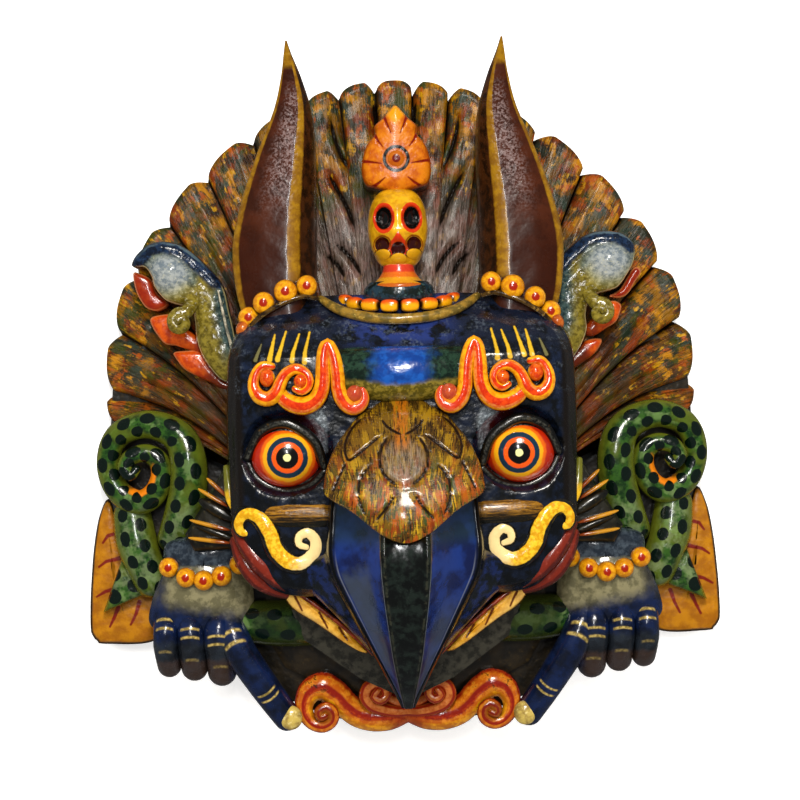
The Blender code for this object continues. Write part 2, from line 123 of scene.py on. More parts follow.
def tint(code):
    # a colour as painters write it, in the linear values that shaders use
    parts = [int(code[i : i + 2], 16) / 255 for i in (1, 3, 5)]
    return tuple(p / 12.92 if p <= 0.04045 else ((p + 0.055) / 1.055) ** 2.4 for p in parts) + (1.0,)


def mixed(factor, first, second):
    # colours through a Mix node; a colour is a Field or its code, the factor a Field or a number
    first, second = (tint(value) if isinstance(value, str) else value for value in (first, second))
    lead = next(value for value in (factor, first, second) if isinstance(value, Field))
    settings = {"data_type": "RGBA", "blend_type": "MIX"}
    return lead.node("ShaderNodeMix", settings, {0: factor, 6: first, 7: second}, out=2)


def layered(value, stops, soft=0.06):
    # colours one after another along a value: first colour, then (limit, colour) pairs
    colour = stops[0]
    for limit, following in stops[1:]:
        colour = mixed(value.ease(limit - soft, limit + soft), colour, following)
    return colour


varnish = {
    "bumpStrength": 0.55,
    "bumpDepth": 0.9 * mm,
    "pitSize": 2.2,  # as a share of the grain size
    "toolSize": 9.0,
    "dustSize": 14.0,
    "coatRoughness": 0.1,
    "patchSize": 7.0,
    "patchColour": "#0a0705",
    "speckSize": 1.3,
    "speckColour": "#120a06",
}


class Coat:
    # what a painter has to hand on one material: the colour so far, places, noises and attributes
    def __init__(self, name):
        self.material = bpy.data.materials.new(name)
        self.material.use_nodes = True
        self.tree = self.material.node_tree
        self.shader = self.tree.nodes["Principled BSDF"]
        self.colour = None
        coordinates = self.tree.nodes.new("ShaderNodeTexCoord")
        self.point = Field(self.tree, coordinates.outputs["Object"])
        self.x, self.y, self.z = (part * perMetre for part in self.parts(self.point))

    def parts(self, vector):
        return [self.point.node("ShaderNodeSeparateXYZ", None, {0: vector}, out=i) for i in range(3)]

    def attribute(self, name, out=2):
        return self.point.node("ShaderNodeAttribute", {"attribute_name": name}, None, out)

    def local(self):
        # the place on one lump of a row, from -1 to 1 each way
        return self.parts(self.attribute("local", out=1))

    def texture(self, vector, scale, detail, rough):
        inputs = {"Vector": vector, "Scale": scale, "Detail": detail, "Roughness": rough}
        return self.point.node("ShaderNodeTexNoise", {"noise_dimensions": "3D"}, inputs)

    def noise(self, size, detail=3.0, rough=0.6):
        # values round 0.5 in patches of about this size
        return self.texture(self.point, perMetre / size, detail, rough)

    def threads(self, x, y, z, detail=4.0, rough=0.8):
        # values round 0.5 over a place of one's own, such as one that is drawn out into hairs
        place = self.point.node("ShaderNodeCombineXYZ", None, {0: x, 1: y, 2: z})
        return self.texture(place, 1.0, detail, rough)

    def uneven(self, size, amount, detail=3.0, rough=0.6):
        return (self.noise(size, detail, rough) - 0.5) * amount

    def mottled(self, size, low, high, first, second, detail=3.0, rough=0.6):
        # two colours in patches
        return mixed(self.noise(size, detail, rough).ease(low, high), first, second)

    def dabs(self, size, low, high, amount, shift=0.0):
        # where dry dabs of another colour go
        pattern = self.threads(self.x / size, self.y / size, self.z / size + shift, 3.0, 0.62)
        return pattern.ease(low, high) * amount

    def wash(self, where, colour):
        self.colour = mixed(where, self.colour, colour)

    def wear(self, amount):
        # uneven paint: brush patches lighter and darker, and specks of the dark ground
        self.wash(self.uneven(varnish["patchSize"], amount, 4.0) * 2.0, varnish["patchColour"])
        self.wash(self.noise(varnish["speckSize"], 2.0).ease(0.68, 0.78) * amount, varnish["speckColour"])

    def finish(self, wearAndSheen=0.0, roughness=0.24, spread=0.14, grain=0.35, grainSize=1.5, lacquer=0.7,
               relief=None, mirror=0.35):
        # the colour under varnish: fine bumps that break the highlights, tool marks and dust in the gloss
        if wearAndSheen:
            self.wear(wearAndSheen)
        pits = self.noise(grainSize * varnish["pitSize"], 1.5, 0.55)
        tool = self.noise(varnish["toolSize"], 2.0, 0.5)
        height = pits * grain * 1.5 + tool * 0.5
        if relief is not None:
            height = height + relief
        bumps = {"Strength": varnish["bumpStrength"], "Distance": varnish["bumpDepth"], "Height": height}
        dust = self.noise(varnish["dustSize"], 4.0)
        fillInputs(self.tree, self.shader, {
            "Base Color": self.colour,
            "Roughness": (roughness - spread / 2) + dust * spread + pits * 0.1,
            "Normal": self.point.node("ShaderNodeBump", None, bumps),
            "Specular IOR Level": mirror,
            "Coat Weight": lacquer * 0.5,
            "Coat Roughness": varnish["coatRoughness"],
        })
        return self.material


def strokes(coat, lines, wide, taper=0.35, soft=0.5, rough=0.5):
    # painted lines of the plan as a mask, on both halves; each line is a few points, wide in millimetres
    x = abs(coat.x)
    uneven = coat.uneven(2.6, rough * 2)
    total = None
    for line in lines:
        widths = np.linspace(1.0, taper, len(line))
        for a, b, first, last in zip(line, line[1:], widths, widths[1:]):
            dx, dy = b[0] - a[0], b[1] - a[1]
            t = (((x - a[0]) * dx + (coat.y - a[1]) * dy) / (dx * dx + dy * dy)).most(0.0).least(1.0)
            away = ((x - a[0] - t * dx) ** 2 + (coat.y - a[1] - t * dy) ** 2) ** 0.5
            inside = (away + uneven - wide / 2 * (first + t * (last - first))).ease(soft, -soft)
            total = inside if total is None else total.most(inside)
    return total


def darkPaint(name, code, second, sheen):
    # a dark ground in two near colours, with dabs of a third that are a painted sheen
    coat = Coat(name)
    coat.colour = coat.mottled(11.0, 0.35, 0.65, code, second)
    # painted sheen: dabs of the lighter colour over the dark ground
    coat.wash(coat.dabs(3.0, 0.58, 0.72, 0.5, 2.0), sheen)
    return coat.finish(roughness=0.27, grain=0.55, grainSize=1.8)


def plainPaint(name, code, second, dab=None, wearAndSheen=0.35, **finish):
    # two near colours in patches, and dabs of a third
    coat = Coat(name)
    coat.colour = coat.mottled(6.0, 0.38, 0.62, code, second)
    if dab:
        coat.wash(coat.dabs(3.0, 0.56, 0.68, 0.7, 3.0), dab)
    return coat.finish(wearAndSheen, **finish)


def beadPaint(name, body, top, dot):
    # a ball with a dot on the side that faces the viewer
    coat = Coat(name)
    facing = coat.local()[2]
    coat.colour = coat.mottled(3.0, 0.4, 0.62, body, top)
    coat.wash((facing + coat.uneven(1.6, 0.08, 2.0)).ease(0.9, 0.95), dot)
    # painted shade: each bead turns brown towards its edge and dark on the side that faces away
    coat.wash(facing.ease(0.62, 0.2) * 0.6, "#7a3c08")
    coat.wash(facing.ease(0.1, -0.25), "#2a1404")
    return coat.finish(0.2, roughness=0.16, spread=0.08, grain=0.3, lacquer=0.9)


# Shapes


def smoothPath(points, step=1.5, closed=False):
    # points on a curve through the given ones, about one step apart
    points = np.array(points, float)
    count = len(points)
    found = []
    for i in range(count if closed else count - 1):
        if closed:
            a, b, c, d = (points[(i + k) % count] for k in (-1, 0, 1, 2))
        else:
            a, b, c, d = (points[min(max(i + k, 0), count - 1)] for k in (-1, 0, 1, 2))
        parts = max(2, int(np.linalg.norm((c - b)[:3]) / step))
        for t in np.arange(parts) / parts:
            square, cube = (2 * a - 5 * b + 4 * c - d) * t**2, (3 * b - a - 3 * c + d) * t**3
            found.append(((2 * b) + (c - a) * t + square + cube) / 2)
    if not closed:
        found.append(points[-1])
    return np.array(found)


def resampled(corners, step):
    # a closed straight-sided outline with points every step
    found = []
    for a, b in zip(corners, corners[1:] + corners[:1]):
        count = max(1, int(math.hypot(b[0] - a[0], b[1] - a[1]) / step))
        found += [(a[0] + (b[0] - a[0]) * k / count, a[1] + (b[1] - a[1]) * k / count) for k in range(count)]
    return found


def bothHalves(half):
    # the whole outline from its right half, which starts and ends on the middle line
    return half + [(-x, y) for x, y in reversed(half[1:-1])]


def bothWays(lines):
    return lines + [[(-x, y) for x, y in line] for line in lines]


def wobble(points, size, amount, seed=1):
    # a smooth wave of carving unevenness, the same each run
    random = np.random.default_rng(seed)
    total = np.zeros(len(points))
    for _ in range(7):
        way = random.normal(size=3)
        way /= np.linalg.norm(way)
        turns = turnFull / (size * random.uniform(0.6, 1.5))
        total += np.sin(points @ way * turns + random.uniform(0, turnFull))
    return total * amount / 5.5


def lineDistance(points, path):
    # distance in plan from each point to a line, and the share along it
    path = np.array(path, float)[:, :2]
    flat = points[:, :2]
    best = np.full(len(points), 1e9)
    place = np.zeros(len(points))
    lengths = np.linalg.norm(np.diff(path, axis=0), axis=1)
    starts = np.concatenate([[0], np.cumsum(lengths)])
    for a, b, length, start in zip(path, path[1:], lengths, starts):
        t = np.clip(((flat - a) @ (b - a)) / max(length**2, 1e-9), 0, 1)
        away = np.linalg.norm(flat - (a + t[:, None] * (b - a)), axis=1)
        closer = away < best
        best = np.where(closer, away, best)
        place = np.where(closer, (start + t * length) / starts[-1], place)
    return best, place


def newMesh(name, points, faces, *materials):
    # points in millimetres
    mesh = bpy.data.meshes.new(name)
    mesh.from_pydata([tuple(p) for p in np.asarray(points, float) * mm], [], faces)
    for material in materials:
        mesh.materials.append(material)
    return mesh


def newObject(name, data):
    made = bpy.data.objects.new(name, data)
    bpy.context.scene.collection.objects.link(made)
    return made


def turnOutwards(mesh):
    work = bmesh.new()
    work.from_mesh(mesh)
    bmesh.ops.recalc_face_normals(work, faces=work.faces)
    work.to_mesh(mesh)
    work.free()
    mesh.polygons.foreach_set("use_smooth", [True] * len(mesh.polygons))


def settled(made):
    # the mesh that the modifiers make takes the place of the first one
    bpy.context.view_layer.update()
    depsgraph = bpy.context.evaluated_depsgraph_get()
    mesh = bpy.data.meshes.new_from_object(made.evaluated_get(depsgraph))
    made.modifiers.clear()
    old = made.data
    made.data = mesh
    bpy.data.meshes.remove(old)
    mesh.name = made.name
    return made


def fitted(made):
    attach(made, "root")
    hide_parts("mask")
    return made


class Shape:
    # points, faces and painted attributes of a piece before it becomes a mesh
    def __init__(self):
        self.points = np.zeros((0, 3))
        self.faces = []
        self.values = {}

    def add(self, points, faces, **values):
        start = len(self.points)
        points = np.asarray(points, float).reshape(-1, 3)
        self.points = np.vstack([self.points, points])
        self.faces += [tuple(start + i for i in face) for face in faces]
        for name in set(self.values) | set(values):
            old = self.values.get(name, np.zeros(start))
            new = np.broadcast_to(np.asarray(values.get(name, 0.0), float).reshape(-1), (len(points),))
            self.values[name] = np.concatenate([old, new])
        return self

    def mark(self, name, start, values):
        # sets an attribute on the points from the start on
        known = self.values.get(name, np.zeros(0))[:start]
        self.values[name] = np.concatenate([known, np.broadcast_to(values, (len(self.points) - start,))])

    def mirrored(self):
        # adds the other half of the mask
        count = len(self.points)
        self.points = np.vstack([self.points, self.points * (-1, 1, 1)])
        self.faces += [tuple(count + i for i in reversed(face)) for face in self.faces]
        self.values = {name: np.concatenate([value, value]) for name, value in self.values.items()}
        return self

    def roughened(self, size, amount, seed):
        self.points[:, 2] += wobble(self.points, size, amount, seed) * (self.points[:, 2] > 3)
        return self

    def piece(self, name, *materials, sharp=40.0):
        mesh = newMesh(name, self.points, self.faces, *materials)
        for key, value in self.values.items():
            layer = mesh.attributes.new(key, "FLOAT", "POINT")
            layer.data.foreach_set("value", np.asarray(value, np.float32))
        mesh.validate()
        turnOutwards(mesh)
        if len(materials) > 1:
            # faces that look down at the wall stay bare wood
            for face in mesh.polygons:
                if face.normal.z < -0.9 and face.center.z < 2 * mm:
                    face.material_index = 1
        mesh.set_sharp_from_angle(angle=math.radians(sharp))
        return fitted(newObject(name, mesh))


def ringFaces(rows, columns, capped=True):
    # faces between closed rings of points, and over the first and the last ring
    faces = []
    for i in range(rows - 1):
        for j in range(columns):
            k = (j + 1) % columns
            faces.append((i * columns + j, i * columns + k, (i + 1) * columns + k, (i + 1) * columns + j))
    if capped:
        faces.append(tuple(range(columns))[::-1])
        faces.append(tuple(range((rows - 1) * columns, rows * columns)))
    return faces


def addBand(shape, path, sides=20, **values):
    # a carved band: each point is x, y, z, half width; its ends are rounded over
    line = smoothPath(path, 1.3)
    centre, width = line[:, :3], line[:, 3]
    along = np.concatenate([[0], np.cumsum(np.linalg.norm(np.diff(centre, axis=0), axis=1))])
    ahead = np.gradient(centre, axis=0)
    ahead /= np.linalg.norm(ahead, axis=1)[:, None]
    turns = np.linspace(math.pi / 2, 0, 7)[:-1]
    ends = [(math.sin(turn) * 0.97, max(math.cos(turn), 0.12)) for turn in turns]
    start, end, first, last = centre[0], centre[-1], ahead[0], ahead[-1]
    rows = [(start - first * width[0] * s, first, width[0] * c, -width[0] * s) for s, c in ends]
    rows += zip(centre, ahead, width, along)
    rows += [(end + last * width[-1] * s, last, width[-1] * c, along[-1] + width[-1] * s)
             for s, c in reversed(ends)]
    angles = np.arange(sides) * turnFull / sides
    across, lift = np.cos(angles), np.sin(angles)
    points = []
    for middle, way, half, _ in rows:
        side = np.cross(way, (0, 0, 1.0))
        side /= np.linalg.norm(side) + 1e-9
        points.append(middle + np.outer(across * half, side) + np.outer(lift * half, np.cross(side, way)))
    values["across"] = np.tile(across, len(rows))
    values["along"] = np.repeat([row[3] for row in rows], sides)
    values["half"] = np.repeat([row[2] for row in rows], sides)
    return shape.add(np.vstack(points), ringFaces(len(rows), sides), **values)


def addBall(shape, centre, radii, segments=24, rings=14):
    tilts = [math.pi * i / rings for i in range(1, rings)]
    turns = [turnFull * j / segments for j in range(segments)]
    ways = [(math.sin(a) * math.cos(t), math.sin(a) * math.sin(t), math.cos(a)) for a in tilts for t in turns]
    ways += [(0, 0, 1), (0, 0, -1)]
    top, last = len(ways) - 2, (rings - 2) * segments
    faces = ringFaces(rings - 1, segments, capped=False)
    for j in range(segments):
        k = (j + 1) % segments
        faces += [(top, k, j), (top + 1, last + j, last + k)]
    return shape.add(np.array(ways) * radii + centre, faces)


def addForm(shape, outline, spine, floor, edge, crown, rings=14, roll=1.5, closed=True):
    # a raised leaf: walls from the floor up to an edge, then a rounded front that rises to its spine
    outline = smoothPath(outline, 2.0, closed=True) if closed else np.array(outline, float)
    outline = outline[:, :2]
    spine = smoothPath(spine, 2.0)[:, :2]
    count = len(outline)
    nearest = spine[np.argmin(np.linalg.norm(outline[:, None] - spine[None], axis=2), axis=1)]
    reach = np.linalg.norm(outline - nearest, axis=1)
    rows, rims = [], [np.zeros(3 * count)]
    for height in (floor, floor + (edge - floor) * 0.5, edge - roll):
        rows.append(np.column_stack([outline, np.full(count, float(height))]))
    for share in np.sin(np.linspace(0, math.pi / 2, rings)):
        height = edge - roll + roll * min(1.0, share * reach.mean() / max(roll, 0.1)) ** 0.5
        height = height + (crown - edge) * (1 - (1 - share) ** 2) ** 0.5
        rows.append(np.column_stack([outline + (nearest - outline) * share, np.full(count, float(height))]))
        rims.append(share * reach)
    return shape.add(np.vstack(rows), ringFaces(len(rows), count), rim=np.concatenate(rims))


def insideLine(points, line):
    # whether each point lies within a closed line
    following = np.roll(line, -1, axis=0)
    spans = (line[:, 1] > points[:, 1:]) != (following[:, 1] > points[:, 1:])
    rise = following[:, 1] - line[:, 1]
    slope = (following[:, 0] - line[:, 0]) / np.where(rise == 0, 1e-9, rise)
    crossed = spans & (points[:, :1] < line[:, 0] + (points[:, 1:] - line[:, 1]) * slope)
    return crossed.sum(axis=1) % 2 == 1


def addPad(shape, outline, floor, edge, crown, reach=8.0, pitch=1.3, **values):
    # a cushion over any outline: its front rises with the distance from the edge
    line = smoothPath(outline, pitch, closed=True)[:, :2]
    count = len(line)
    spans = [np.arange(low, high, pitch) for low, high in zip(line.min(axis=0), line.max(axis=0))]
    grid = np.stack(np.meshgrid(*spans), -1).reshape(-1, 2)
    closedLine = np.vstack([line, line[:1]])
    grid = grid[insideLine(grid, line) & (lineDistance(grid, closedLine)[0] > pitch * 0.6)]
    flat = [Vector(p) for p in np.vstack([line, grid])]
    ring = [(i, (i + 1) % count) for i in range(count)]
    found, _, triangles, origins, _, _ = delaunay_2d_cdt(flat, ring, [], 1, 1e-5)
    found = np.array(found)
    away = lineDistance(found, closedLine)[0]
    share = np.clip(away / reach, 0, 1)
    points = [np.column_stack([found, edge + (crown - edge) * np.sqrt(1 - (1 - share) ** 2)])]
    place = {first: i for i, known in enumerate(origins) for first in known}
    front = [place[i] for i in range(count)]
    for level in (floor + (edge - floor) * 0.5, floor):
        points.append(np.column_stack([found[front], np.full(count, float(level))]))
    total = len(found)
    rows = [front, list(range(total, total + count)), list(range(total + count, total + 2 * count))]
    faces = [tuple(face) for face in triangles]
    for upper, lower in zip(rows, rows[1:]):
        faces += [(upper[i], upper[k], lower[k], lower[i]) for i, k in ring]
    faces.append(tuple(rows[2]))
    return shape.add(np.vstack(points), faces, rim=np.concatenate([away, np.zeros(2 * count)]), **values)


def addLoft(shape, stations, section, step=2.0, parts=6, passes=2):
    # closed rings across the Y axis; section gives the corners of one ring as x, z and zone
    points, zones = [], []
    for row in smoothPath(stations, step):
        corners = np.array(section(row), float)
        steps = (np.roll(corners, -1, axis=0) - corners)[:, None] * np.arange(parts)[:, None] / parts
        ring = (corners[:, None] + steps).reshape(-1, 3)
        for _ in range(passes):
            ring[:, :2] = (np.roll(ring[:, :2], 1, 0) + 2 * ring[:, :2] + np.roll(ring[:, :2], -1, 0)) / 4
        points.append(np.column_stack([ring[:, 0], np.full(len(ring), row[0]), ring[:, 1]]))
        zones.append(ring[:, 2])
    return shape.add(np.vstack(points), ringFaces(len(points), len(points[0])), zone=np.concatenate(zones))


def addTurned(shape, stations, height, sides=48, step=0.8):
    # circles across the Y axis
    line = smoothPath(stations, step)
    angles = np.arange(sides) * turnFull / sides
    points = [np.column_stack([r * np.sin(angles), np.full(sides, y), height + r * np.cos(angles)])
              for y, r in line]
    return shape.add(np.vstack(points), ringFaces(len(line), sides), station=np.repeat(line[:, 0], sides))


def incise(shape, lines, width, depth, taper=0.25):
    # V grooves cut into a shape along lines; what is cut is also kept for the paint
    cut = np.zeros(len(shape.points))
    for line in lines:
        away, place = lineDistance(shape.points, smoothPath(line, 3.0))
        ends = np.clip(np.minimum(place, 1 - place) / taper, 0.15, 1)
        cut = np.maximum(cut, np.exp(-((away / (width * ends)) ** 2)) * ends)
    shape.points[:, 2] -= cut * depth
    shape.values["groove"] = np.maximum(shape.values.get("groove", 0), cut)
    return shape


# Rows of lumps

lumpInputs = {"Boxiness": "Float", "Uneven Size": "Float", "Segments": "Int", "Rings": "Int", "Seed": "Int",
              "Material": "Material"}
lumpValues = {"Boxiness": 0.0, "Uneven Size": 0.04, "Segments": 24, "Rings": 14, "Seed": 4}


def repeatGroup():
    # one rounded lump on each point: beads, gill ribs and gill folds are rows of these
    group = bpy.data.node_groups.new("repeatLumps", "GeometryNodeTree")
    sockets = group.interface
    sockets.new_socket("Geometry", in_out="OUTPUT", socket_type="NodeSocketGeometry")
    names = {"Geometry": "Geometry", **lumpInputs}
    keys = {name: sockets.new_socket(name, in_out="INPUT", socket_type="NodeSocket" + kind).identifier
            for name, kind in names.items()}
    start = group.nodes.new("NodeGroupInput")
    given = {name: Field(group, start.outputs[name]) for name in names}
    node = given["Geometry"].node
    ball = node("GeometryNodeMeshUVSphere", None, {"Segments": given["Segments"], "Rings": given["Rings"],
                                                   "Radius": 1.0})
    place = node("GeometryNodeInputPosition")
    stored = {"data_type": "FLOAT_VECTOR", "domain": "POINT"}
    kept = node("GeometryNodeStoreNamedAttribute", stored,
                {"Geometry": ball, "Name": "local", "Value": place})
    # boxiness pushes the ball out towards the corners of its box
    size = node("ShaderNodeVectorMath", {"operation": "ABSOLUTE"}, {0: place})
    x, y, z = (node("ShaderNodeSeparateXYZ", None, {0: size}, out=i) for i in range(3))
    grow = (1.0 / x.most(y).most(z) - 1.0) * given["Boxiness"] + 1.0
    boxed = node("ShaderNodeVectorMath", {"operation": "SCALE"}, {0: place, "Scale": grow})
    lump = node("GeometryNodeSetPosition", None, {"Geometry": kept, "Position": boxed})
    # each point says how far its lump reaches and how it leans
    reach, lean = (node("GeometryNodeInputNamedAttribute", {"data_type": "FLOAT_VECTOR"}, {"Name": name})
                   for name in ("reach", "lean"))
    least = 1.0 - given["Uneven Size"]
    vary = node("FunctionNodeRandomValue", {"data_type": "FLOAT"},
                {2: least, 3: 1.0, "Seed": given["Seed"]}, out=1)
    copies = node("GeometryNodeInstanceOnPoints", None, {
        "Points": given["Geometry"],
        "Instance": lump,
        "Rotation": node("FunctionNodeEulerToRotation", None, {0: lean}),
        "Scale": node("ShaderNodeVectorMath", {"operation": "SCALE"}, {0: reach, "Scale": vary}),
    })
    smooth = node("GeometryNodeSetShadeSmooth", None, {0: copies})
    real = node("GeometryNodeRealizeInstances", None, {0: smooth})
    paint = node("GeometryNodeSetMaterial", None, {"Geometry": real, "Material": given["Material"]})
    group.links.new(paint.socket, group.nodes.new("NodeGroupOutput").inputs[0])
    return group, keys


def lumps(name, places, material, both=True, **settings):
    # places: x, y, z, three radii and three turns in degrees for each lump
    rows = [list(place) + [0.0] * (9 - len(place)) for place in places]
    if both:
        rows += [[-r[0]] + r[1:6] + [r[6], -r[7], -r[8]] for r in rows]
    mesh = newMesh(name, [r[:3] for r in rows], [])
    radii = [v * mm for r in rows for v in r[3:6]]
    turns = [math.radians(v) for r in rows for v in r[6:9]]
    for key, vectors in (("reach", radii), ("lean", turns)):
        mesh.attributes.new(key, "FLOAT_VECTOR", "POINT").data.foreach_set("vector", vectors)
    made = newObject(name, mesh)
    group, keys = repeatLumps
    repeat = made.modifiers.new("repeat", "NODES")
    repeat.node_group = group
    for key, value in {**lumpValues, **settings, "Material": material}.items():
        repeat[keys[key]] = value
    return fitted(settled(made))


def strips(lines, height, longer, high, shift=0.0):
    # places of long lumps that lie along lines, each given as two ends and a half width
    rows = []
    for (x0, y0), (x1, y1), wide in lines:
        long = math.hypot(x0 - x1, y0 - y1) / 2 + longer
        turn = math.degrees(math.atan2(y0 - y1, x0 - x1))
        rows.append(((x0 + x1) / 2 + shift, (y0 + y1) / 2, height, long, wide, high, 0, 6, turn))
    return rows


# Camera, light and floor

view = {
    "distance": 1500,
    "perPixel": 0.68,  # millimetres on the wall plane for one pixel of the photo
    "pixels": 800,
    "aim": (-0.4, -6.0),
    "azimuth": -0.4,  # degrees to the left of straight on
    "roll": -1.26,
    "sensor": 36,
}
# metres, watts and linear colours
lights = {
    "ceiling": {"place": (0.1, 1.0, 1.6), "size": (0.35, 0.35), "watts": 30, "colour": (1.0, 0.95, 0.87)},
    "strip": {"place": (-0.04, 0.36, 1.6), "size": (0.08, 0.3), "watts": 6, "colour": (1, 1, 1)},
    "leftFill": {"place": (-1.2, 0.4, 1.4), "size": (0.5, 0.5), "watts": 13, "colour": (1.0, 0.95, 0.88)},
    "rightFill": {"place": (1.2, 0.1, 1.4), "size": (0.5, 0.5), "watts": 11, "colour": (1.0, 0.95, 0.88)},
    "lowFill": {"place": (0.1, -1.2, 1.4), "size": (0.5, 0.5), "watts": 9, "colour": (1.0, 0.95, 0.88)},
}
room = {"colour": (0.95, 0.97, 1.0, 1), "strength": 0.14, "floorHalf": 3000.0, "floorDrop": 0.2,
        "floorGlow": 0.5}


def setCamera():
    data = bpy.data.cameras.new("camera")
    camera = newObject("camera", data)
    side = math.radians(view["azimuth"])
    away = Vector((math.sin(side), 0, math.cos(side))) * view["distance"] * mm
    camera.location = Vector((view["aim"][0] * mm, view["aim"][1] * mm, 0)) + away
    turned = Matrix.Rotation(side, 3, "Y") @ Matrix.Rotation(math.radians(view["roll"]), 3, "Z")
    camera.rotation_euler = turned.to_euler()
    data.sensor_width = view["sensor"]
    data.lens = view["sensor"] * view["distance"] / (view["perPixel"] * view["pixels"])
    bpy.context.scene.camera = camera


def softLight(name, place, size, watts, colour):
    data = bpy.data.lights.new(name, "AREA")
    data.shape = "RECTANGLE"
    data.size, data.size_y = size
    data.energy = watts
    data.color = colour
    light = newObject(name, data)
    light.location = place
    light.rotation_euler = (-Vector(place)).to_track_quat("-Z", "Y").to_euler()
    light.visible_glossy = "Fill" not in name  # the fills aren't mirrored in the dark lacquer


def setStage():
    bpy.context.scene.view_settings.view_transform = "Standard"  # strong lacquer colours as in the photo
    world = bpy.data.worlds.new("studio")
    world.use_nodes = True
    background = world.node_tree.nodes["Background"]
    fillInputs(world.node_tree, background, {"Color": room["colour"], "Strength": room["strength"]})
    bpy.context.scene.world = world
    for name, light in lights.items():
        softLight(name, **light)
    paper = Coat("paleFloor")
    paper.colour = mixed(paper.noise(3.0) * 0.3, "#f6f6f6", "#eeeeee")
    material = paper.finish(roughness=0.7, spread=0.05, grain=0.05, lacquer=0.0)
    fillInputs(paper.tree, paper.shader, {"Emission Color": (1, 1, 1, 1),
                                          "Emission Strength": room["floorGlow"]})
    half = room["floorHalf"]
    corners = [(-half, -half, 0), (half, -half, 0), (half, half, 0), (-half, half, 0)]
    floor = newObject("floor", newMesh("floor", corners, [(0, 1, 2, 3)], material))
    floor.location = (0, 0, -room["floorDrop"] * mm)
    floor.visible_glossy = False  # the sides of the mask don't mirror the white paper


# Feather halo, board and head


def bareWood():
    coat = Coat("bareWood")
    coat.colour = mixed(coat.threads(coat.x / 2.2, coat.y / 40.0, coat.z / 2.2, 4.0, 0.6), "#5a3d22",
                        "#8a6238")
    coat.wash(coat.noise(18.0, 3.0, 0.5).ease(0.45, 0.7) * 0.5, "#3a2614")
    return coat.finish(roughness=0.62, grain=0.5, lacquer=0.05)


def featherPaint():
    # dry-brushed feathers: streaks of olive, mustard, orange, green and blue-grey drawn along a dark ground
    coat = Coat("featherPaint")
    along, across, seed = coat.attribute("alongMm"), coat.attribute("acrossMm"), coat.attribute("seed")
    outer, crest = coat.attribute("share"), coat.attribute("crest")
    cross = coat.threads(across / 4.0, along / 1.3, seed * 5.0, 3.0, 0.7) - 0.5
    hairs = coat.threads(across / 1.0, along / 12.0, seed * 2.0)
    tip = outer.ease(0.62, 0.8)
    coat.colour = mixed(hairs.ease(0.4, 0.6), "#1c0f05", "#46240a")
    # colour, shift of the pattern, how rare it is, width and length of its patches, and where it goes
    for code, shift, level, wide, long, where in (
        ("#57380a", 2.2, 0.55, 11.0, 17.0, 1.0),
        ("#2f370c", 1.7, 0.585, 11.0, 17.0, 1.0),
        ("#6f2c08", 7.7, 0.615, 11.0, 17.0, 1.0),
        ("#7a5206", 5.3, 0.615, 11.0, 17.0, tip),
        ("#1a251c", 3.1, 0.62, 11.0, 17.0, 1.0),
        ("#a87008", 12.9, 0.645, 9.0, 12.0, tip),
        ("#26342a", 9.1, 0.665, 11.0, 17.0, tip),
        ("#94440a", 21.3, 0.68, 9.0, 12.0, tip),
        ("#b0820e", 17.7, 0.71, 4.0, 9.0, 1.0),
    ):
        place = coat.threads(across / wide, along / long, seed * 3.0 + shift, 1.0, 0.5)
        fine = coat.threads(across / 1.1, along / 7.0, seed * 3.0 - shift, 4.0, 0.85)
        coat.wash((place * 0.75 + fine * 0.45 + cross * 0.2).ease(level, level + 0.07) * 0.9 * where, code)
    scratches = coat.threads(across / 0.8, along / 10.0, seed * 2.0 + 31.0, 4.0, 0.85)
    coat.wash((scratches + cross * 0.3).ease(0.56, 0.64) * 0.6, "#140a04")
    coat.wash(coat.y.ease(30, -20) * outer.ease(0.35, 0.6) * hairs.ease(0.42, 0.56) * 0.5, "#7a400c")
    # painted shade: the side feathers darker towards their inner ends, next to the head
    coat.wash(outer.ease(0.62, 0.3) * (1.0 - crest) * 0.5, "#3a1f0a")
    # painted sheen: a grey-lavender highlight on the lower part of the crest
    coat.wash(crest * outer.ease(0.66, 0.5) * 0.75, mixed(hairs.ease(0.4, 0.6), "#3a2a22", "#7c6a64"))
    # painted shade in the grooves and on the faces that dip under the next feather
    coat.wash(coat.attribute("groove").ease(0.3, 0.75), "#100803")
    coat.wash(coat.attribute("wall") * 0.9, "#22130a")
    streaks = coat.threads(across / 1.6, along / 22.0, seed * 4.0 + 8.0, 3.0, 0.7)
    coat.wash(streaks.ease(0.55, 0.64) * (1.0 - crest * 0.5) * 0.6, "#120904")
    relief = hairs * 0.6 - streaks.ease(0.5, 0.62) * 0.7
    return coat.finish(roughness=0.27, grain=0.5, relief=relief, lacquer=0.08, mirror=0.17)


halo = {
    "radius": 197.0,
    "centreY": 8.0,
    "shoulderCut": 5.0,
    "crestRise": 3.0,
    "scallop": 10.0,
    "board": 26.0,
    "innerRise": 34.0,
    "groove": 10.0,
    "crestPitch": 7.3,
    "sidePitch": 12.2,
    "endAngle": 98.0,
    "columns": 24,
    "rows": 64,
    "rimDrop": 1.8,
    "lap": 1.4,
    "seed": 12,
    # carved leaf veins above the head
    "veins": [
        [(43.5, 189), (41, 172), (35.5, 156), (27, 142)],
        [(14, 196), (13, 184), (11.5, 172)],
        [(49, 152), (41, 138), (32, 120), (26, 101)],
        [(46, 101), (36, 94), (28, 84), (22.5, 72)],
        [(50, 92), (40, 84), (34, 72)],
    ],
}


